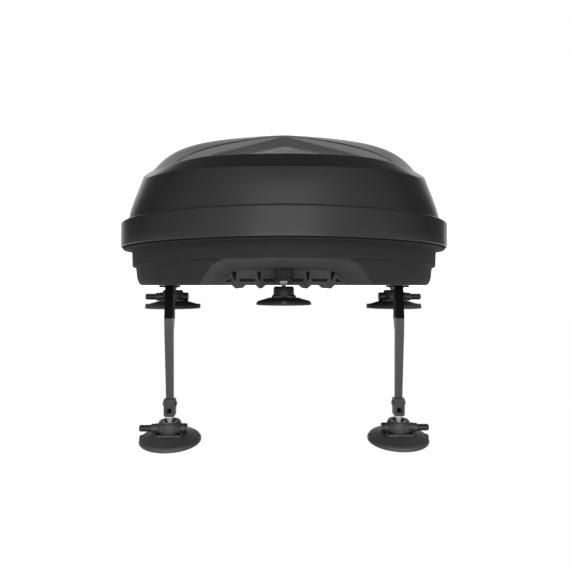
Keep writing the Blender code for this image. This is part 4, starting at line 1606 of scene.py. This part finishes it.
@dataclass(frozen=True)
class Leg:
    """One long leg with its foot clamp and bolt."""

    name: str
    side: float
    x: float = 0.283
    y: float = -0.155
    top: float = 0.0537
    flange: float = 0.0047
    bend: float = -0.027
    end: float = -0.246
    clamp: Span = (-0.269, -0.226)
    clamp_half: Span = (0.0135, 0.012)
    slot_half: Span = (0.0093, 0.0053)
    window: Span = (0.0055, -0.254)
    bolt_z: float = -0.238
    bolt: float = 0.003
    washer: float = 0.0006

    def at(self, across: float, along: float, z: float) -> Corner:
        """Give a point by its distance from the leg's middle line."""
        return (self.side * self.x + across, self.y + along, z)

    def block(self, half_x: float, half_y: float, low: float, high: float) -> Mesh:
        """Draw a block about the leg's middle line."""
        return brick(self.at(-half_x, -half_y, low), self.at(half_x, half_y, high))

    def strut(self) -> Mesh:
        """Draw the leg from its flange down to its foot."""
        levels = (
            (self.top - 0.002, -0.009, 0.011, 0.01025), (self.bend, -0.021, 0.012, 0.01025),
            (self.bend - 0.033, -0.0185, -0.002, 0.01025),
            (self.clamp[1] + 0.006, -0.005, 0.005, 0.009), (self.end, -0.005, 0.005, 0.009))
        bm = drawn_out([
            [self.at(-h, a, z), self.at(h, a, z), self.at(h, b, z), self.at(-h, b, z)]
            for z, a, b, h in levels])
        low, high = sorted((-self.side * 0.010, self.side * 0.026))
        flange = plate(
            self.at(low, -0.005, self.top - self.flange), self.at(high, 0.068, self.top), 0.004, 3)
        return worked(bm, Join.ADD, flange)

    def nuts(self) -> Mesh:
        """Draw the two nuts under the leg's flange."""
        aside = self.side * 0.008
        return hex_nuts([self.at(aside, along, self.top - self.flange) for along in (0.010, 0.054)])

    def clamp_mesh(self) -> Mesh:
        """Draw the foot clamp with its slot and window."""
        low, high = self.clamp
        bm = self.block(*self.clamp_half, low, high)
        feet = [
            e for e in bm.edges
            if abs(e.verts[0].co.y - e.verts[1].co.y) > WELD and e.verts[0].co.z < low + WELD]
        round_edges(bm, feet, 0.005, 5)
        half, middle = self.window
        slot = self.block(*self.slot_half, self.end - GAP, high + 0.01)
        return worked(bm, Join.CUT, slot, self.block(half, 0.03, middle - half, middle + half))

    def bolt_mesh(self) -> Mesh:
        """Draw the cross bolt with a hexagon head and a nut."""
        z = self.bolt_z
        near = self.clamp_half[0] + GAP
        seat = near + self.washer
        out = seat + 0.0026
        parts = [bar(self.at(-0.0155, 0.0, z), self.at(0.0155, 0.0, z), self.bolt, 24, 0.0004)]
        for _, way in SIDES:
            parts.append(bar(self.at(way * near, 0.0, z), self.at(way * seat, 0.0, z), 0.0063, 32))
            parts.append(
                bar(self.at(way * seat, 0.0, z), self.at(way * out, 0.0, z), 0.0058, 6, 0.0003))
        return gathered(parts)

    def nut_mesh(self) -> Mesh:
        """Draw the nut on the ball stud's end, seen in the clamp's window."""
        half, middle = self.window
        stack = (
            (middle - half + 0.0002, middle + 0.0026, 0.0054, 6, 0.0004),
            (middle - 0.009, middle + 0.0042, 0.0030, 24, 0.0005))
        return gathered([
            bar(self.at(0.0, 0.0, low), self.at(0.0, 0.0, high), radius, sides, tip)
            for low, high, radius, sides, tip in stack])

    def build(self, bench: Bench) -> None:
        """Make the leg's pieces.

        Args:
            bench: Where pieces are dressed.
        """
        name = self.name
        leg = bench.piece(
            "bent_leg_" + name, self.strut(), STEEL, "box", ["leg_" + name], 20.0, 0.0014,
            (NEAR_BLACK_FINISH,))
        # Faces above the bend take the near-black finish, so the leg is near-black from its bend up
        # to its flange.
        for face in leg.data.polygons:
            face.material_index = int(face.center.z > self.bend)
        bench.piece("flange_nuts_" + name, self.nuts(), ZINC, "box", round_by=0.0002)
        bench.piece(
            "foot_clamp_" + name, self.clamp_mesh(), CLAMP_PLASTIC, "box", ["clamp_block_" + name],
            30.0, 0.0006)
        bench.piece(
            "cross_bolt_" + name, self.bolt_mesh(), DARK_STEEL, "box", ["clamp_bolt_" + name])
        bench.piece("window_nut_" + name, self.nut_mesh(), NEAR_BLACK_FINISH, "box")


@dataclass(frozen=True)
class Brackets:
    """The middle bracket block and the two low side plates."""

    centre_half: Span = (0.025, 0.018)
    centre_span: Span = (0.066, 0.0967)
    rebate: Span = (0.0060, 0.0082)
    rebate_deep: float = 0.0022
    side_spot: Span = (0.308, 0.019)
    side_half: Span = (0.016, 0.033)
    side_span: Span = (0.0477, 0.0537)
    nut_along: float = 0.022

    def centre(self) -> Mesh:
        """Draw the block under the tunnel's roof with its dark front rebate."""
        half_x, half_y = self.centre_half
        low, high = self.centre_span
        bm = plate((-half_x, -half_y, low), (half_x, half_y, high), 0.004, 4)
        first, last = self.rebate
        rebate = brick(
            (-0.04, -half_y - 0.01, low + first), (0.04, -half_y + self.rebate_deep, low + last))
        return worked(bm, Join.CUT, rebate)

    def build(self, bench: Bench) -> None:
        """Make the brackets and their nuts.

        Args:
            bench: Where pieces are dressed.
        """
        bench.piece(
            "tunnel_block", self.centre(), BLOCK_COAT, "box", ["centre_bracket"], 30.0, 0.0008)
        low, high = self.side_span
        half_x, half_y = self.side_half
        y = self.side_spot[1]
        for name, sign in SIDES:
            x = sign * self.side_spot[0]
            bm = plate((x - half_x, y - half_y, low), (x + half_x, y + half_y, high), 0.006, 4)
            bench.piece(
                "low_plate_" + name, bm, STEEL, "box", ["side_bracket_" + name], 30.0, 0.0006)
            nuts = hex_nuts([(x, y - self.nut_along, low), (x, y + self.nut_along, low)])
            bench.piece("plate_nuts_" + name, nuts, ZINC, "box", round_by=0.0002)


@dataclass(frozen=True)
class Fittings:
    """Hinges on the right, locks on the left, and what is hidden in the box."""

    lock_ys: tuple[tuple[str, float], ...] = (("front", 0.030), ("rear", 0.190))
    lock_z: float = 0.172
    grip_out: float = 0.005

    def lock(self, bench: Bench, name: str, y: float) -> None:
        """Make one lock's housing and knob.

        Args:
            bench: Where pieces are dressed.
            name: The lock's name.
            y: Its station along the box.
        """
        low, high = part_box("lock_housing_" + name)
        z = self.lock_z
        outer = low[0]
        bm = plate(tuple(low), (high[0] + 0.0008, high[1], high[2]), 0.007, 6, axis=0)
        rim = [e for e in bm.edges if max(v.co.x for v in e.verts) < outer + 0.0001]
        round_edges(bm, rim, 0.0018, 3)
        well = bar((outer - 0.01, y, z), (outer + 0.0012, y, z), 0.0142, 48)
        bench.piece(
            "lock_case_" + name, worked(bm, Join.CUT, well), PLASTIC, "lid",
            ["lock_housing_" + name], 40.0)
        knob_low, knob_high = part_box("lock_knob_" + name)
        tip = knob_low[0]
        face = tip + self.grip_out
        knob = bar((face, y, z), (outer + 0.0010, y, z), 0.013, 56, 0.0012)
        grip = brick((tip, y - 0.003, z - 0.011), (face + 0.002, y + 0.003, z + 0.011), 0.0012, 3)
        shaft = bar((outer, y, z), (knob_high[0], y, z), 0.0025, 24)
        mark = brick((tip - 0.01, y - 0.0005, z + 0.003), (tip + 0.0005, y + 0.0005, z + 0.0085))
        knob = worked(worked(knob, Join.ADD, grip, shaft), Join.CUT, mark)
        bench.piece(
            "lock_grip_" + name, knob, PLASTIC, "lock_" + name, ["lock_knob_" + name], 40.0)

    def build(self, bench: Bench) -> None:
        """Make the locks and dress the CAD nodes that stay.

        Args:
            bench: Where pieces are dressed.
        """
        for name, y in self.lock_ys:
            self.lock(bench, name, y)
            for node in ("latch_cam_", "lock_strike_", "hinge_pin_"):
                bench.dress(node + name, ZINC)
            for node in ("hinge_tray_leaf_", "hinge_lid_leaf_"):
                bench.dress(node + name, STEEL)
        for name in ("centre", "side_left", "side_right", "leg_left", "leg_right"):
            bench.dress("backing_plate_" + name, STEEL)


def cups() -> list[VacuumCup]:
    """Place the five cups.

    Returns:
        The cups, from the middle outwards.
    """
    ball = CupSizes().ball_z
    lean = math.radians(7.5)
    tilt = Matrix.Rotation(lean, 4, "X") @ Matrix.Translation((0.0, 0.0, -ball))
    ball_z = -0.331 + ball * math.cos(lean)
    placed = [VacuumCup("centre", Matrix.Rotation(-QUARTER, 4, "Z"), 0.066, 0.016)]
    for kind, x, y, z, turn, seat, shank in (
            ("side_", 0.308, 0.019, -0.010, Matrix(), 0.0477, 0.0055),
            ("leg_", 0.283, -0.155, ball_z, tilt, -0.269, 0.0065)):
        for name, side in SIDES:
            place = Matrix.Translation((side * x, y, z)) @ turn
            if side > 0.0:
                place = place @ Matrix.Rotation(math.pi, 4, "Z")
            placed.append(VacuumCup(kind + name, place, seat, shank))
    return placed


@dataclass(frozen=True)
class Studio:
    """Floor, light and camera."""

    eye: Corner = (-0.0196, -1.528, 0.0546)
    yaw: float = -0.866
    lens: float = 35.0
    sensor: float = 36.0
    floor_z: float = -0.3425
    floor_grey: float = 0.85
    floor_white: float = 0.992
    front: float = 1.25
    front_from: float = 0.35
    front_up: Span = (0.70, 0.98)
    front_beside: Span = (0.30, 0.75)
    side: float = 0.60
    rear: float = 1.3
    rear_along: Span = (0.72, 0.98)
    rear_up: Span = (0.20, 0.75)
    dim: float = 0.10

    def floor(self) -> None:
        """Lay a pale floor that shows white to the camera and keeps a shadow."""
        bm = bmesh.new()
        bmesh.ops.create_grid(bm, x_segments=1, y_segments=1, size=30.0)
        bmesh.ops.translate(bm, vec=(0.0, 0.0, self.floor_z), verts=bm.verts)
        item = as_object(bm, "floor")
        paint = bpy.data.materials.new("pale_floor")
        paint.use_nodes = True
        sheet = NodeSheet(paint.node_tree)
        paint.node_tree.nodes.clear()
        grey = (self.floor_grey, self.floor_grey, self.floor_grey, 1.0)
        plain = sheet.add("ShaderNodeBsdfDiffuse", {"Color": grey}).outputs[0]
        white = sheet.add("ShaderNodeEmission").outputs[0]
        rays = sheet.add("ShaderNodeLightPath").outputs
        seen = sheet.maths("MAXIMUM", rays["Is Camera Ray"], rays["Is Glossy Ray"])
        seen = sheet.maths("MAXIMUM", seen, rays["Is Transmission Ray"])
        share = sheet.product(seen, self.floor_white)
        mix = sheet.add("ShaderNodeMixShader", {0: share, 1: plain, 2: white}).outputs[0]
        sheet.add("ShaderNodeOutputMaterial", {0: mix})
        item.data.materials.append(paint)

    def sky(self) -> None:
        """Light the scene from a broad front glow and a pale backdrop, dark overhead and beside."""
        world = bpy.data.worlds.new("soft_studio")
        bpy.context.scene.world = world
        world.use_nodes = True
        sheet = NodeSheet(world.node_tree)
        place = sheet.add("ShaderNodeTexCoord").outputs["Generated"]
        across, along, up = sheet.add("ShaderNodeSeparateXYZ", {0: place}).outputs
        front = sheet.product(sheet.maths("SUBTRACT", self.front_from, along), self.front)
        front = sheet.product(
            sheet.maths("MAXIMUM", front, 0.0), sheet.ranged(up, self.front_up, (1.0, 0.0)),
            sheet.ranged(
                sheet.maths("ABSOLUTE", across, 0.0), self.front_beside, (1.0, self.side)))
        rear = sheet.product(
            sheet.ranged(along, self.rear_along, (0.0, self.rear)),
            sheet.ranged(up, self.rear_up, (1.0, 0.0)))
        glow = sheet.maths("ADD", sheet.maths("ADD", front, rear), self.dim)
        seen = sheet.add("ShaderNodeLightPath").outputs["Is Camera Ray"]
        back = world.node_tree.nodes["Background"].inputs
        sheet.feed(back["Color"], sheet.maths("MAXIMUM", glow, seen))

    def lamp(self, name: str, spot: Corner, aim: Corner, size: Span, watts: float) -> None:
        """Hang one soft lamp.

        Args:
            name: The lamp's name.
            spot: Where it hangs.
            aim: The point it faces.
            size: Its width and height.
            watts: Its power.
        """
        data = bpy.data.lights.new(name, "AREA")
        data.shape = "RECTANGLE"
        data.size, data.size_y = size
        data.energy = watts
        item = bpy.data.objects.new(name, data)
        item.location = spot
        item.rotation_euler = (Vector(aim) - Vector(spot)).to_track_quat("-Z", "Y").to_euler()
        bpy.context.scene.collection.objects.link(item)

    def camera(self) -> None:
        """Stand the camera where the photograph was taken from."""
        data = bpy.data.cameras.new("camera")
        data.lens = self.lens
        data.sensor_width = self.sensor
        item = bpy.data.objects.new("camera", data)
        item.location = self.eye
        item.rotation_euler = (QUARTER, 0.0, math.radians(self.yaw))
        bpy.context.scene.collection.objects.link(item)
        bpy.context.scene.camera = item

    def build(self) -> None:
        """Set the scene up."""
        bpy.context.scene.view_settings.view_transform = "Standard"
        self.camera()
        self.floor()
        self.sky()
        self.lamp("low_front_fill", (0.0, -2.4, -0.24), (0.0, 0.0, 0.05), (2.4, 0.4), 10.0)
        self.lamp("floor_bounce", (0.0, -0.40, -0.335), (0.0, -0.40, 1.0), (1.8, 0.8), 0.6)
        self.lamp("ramp_fill", (0.0, -1.0, -0.32), (0.0, 0.0, 0.07), (1.8, 0.5), 3.0)


def main() -> None:
    """Build the studio and every sub-assembly, then log how many pieces were dressed."""
    logging.basicConfig(level=logging.INFO)
    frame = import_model()
    Studio().build()
    bench = Bench(frame)
    plan = Plan()
    Lid(plan).build(bench)
    Tray(plan).build(bench)
    for cup in cups():
        cup.build(bench)
    for name, side in SIDES:
        Leg(name, side).build(bench)
    Brackets().build(bench)
    Fittings().build(bench)
    LOG.info("%d pieces dressed", bench.count)


if __name__ == "__main__":
    main()
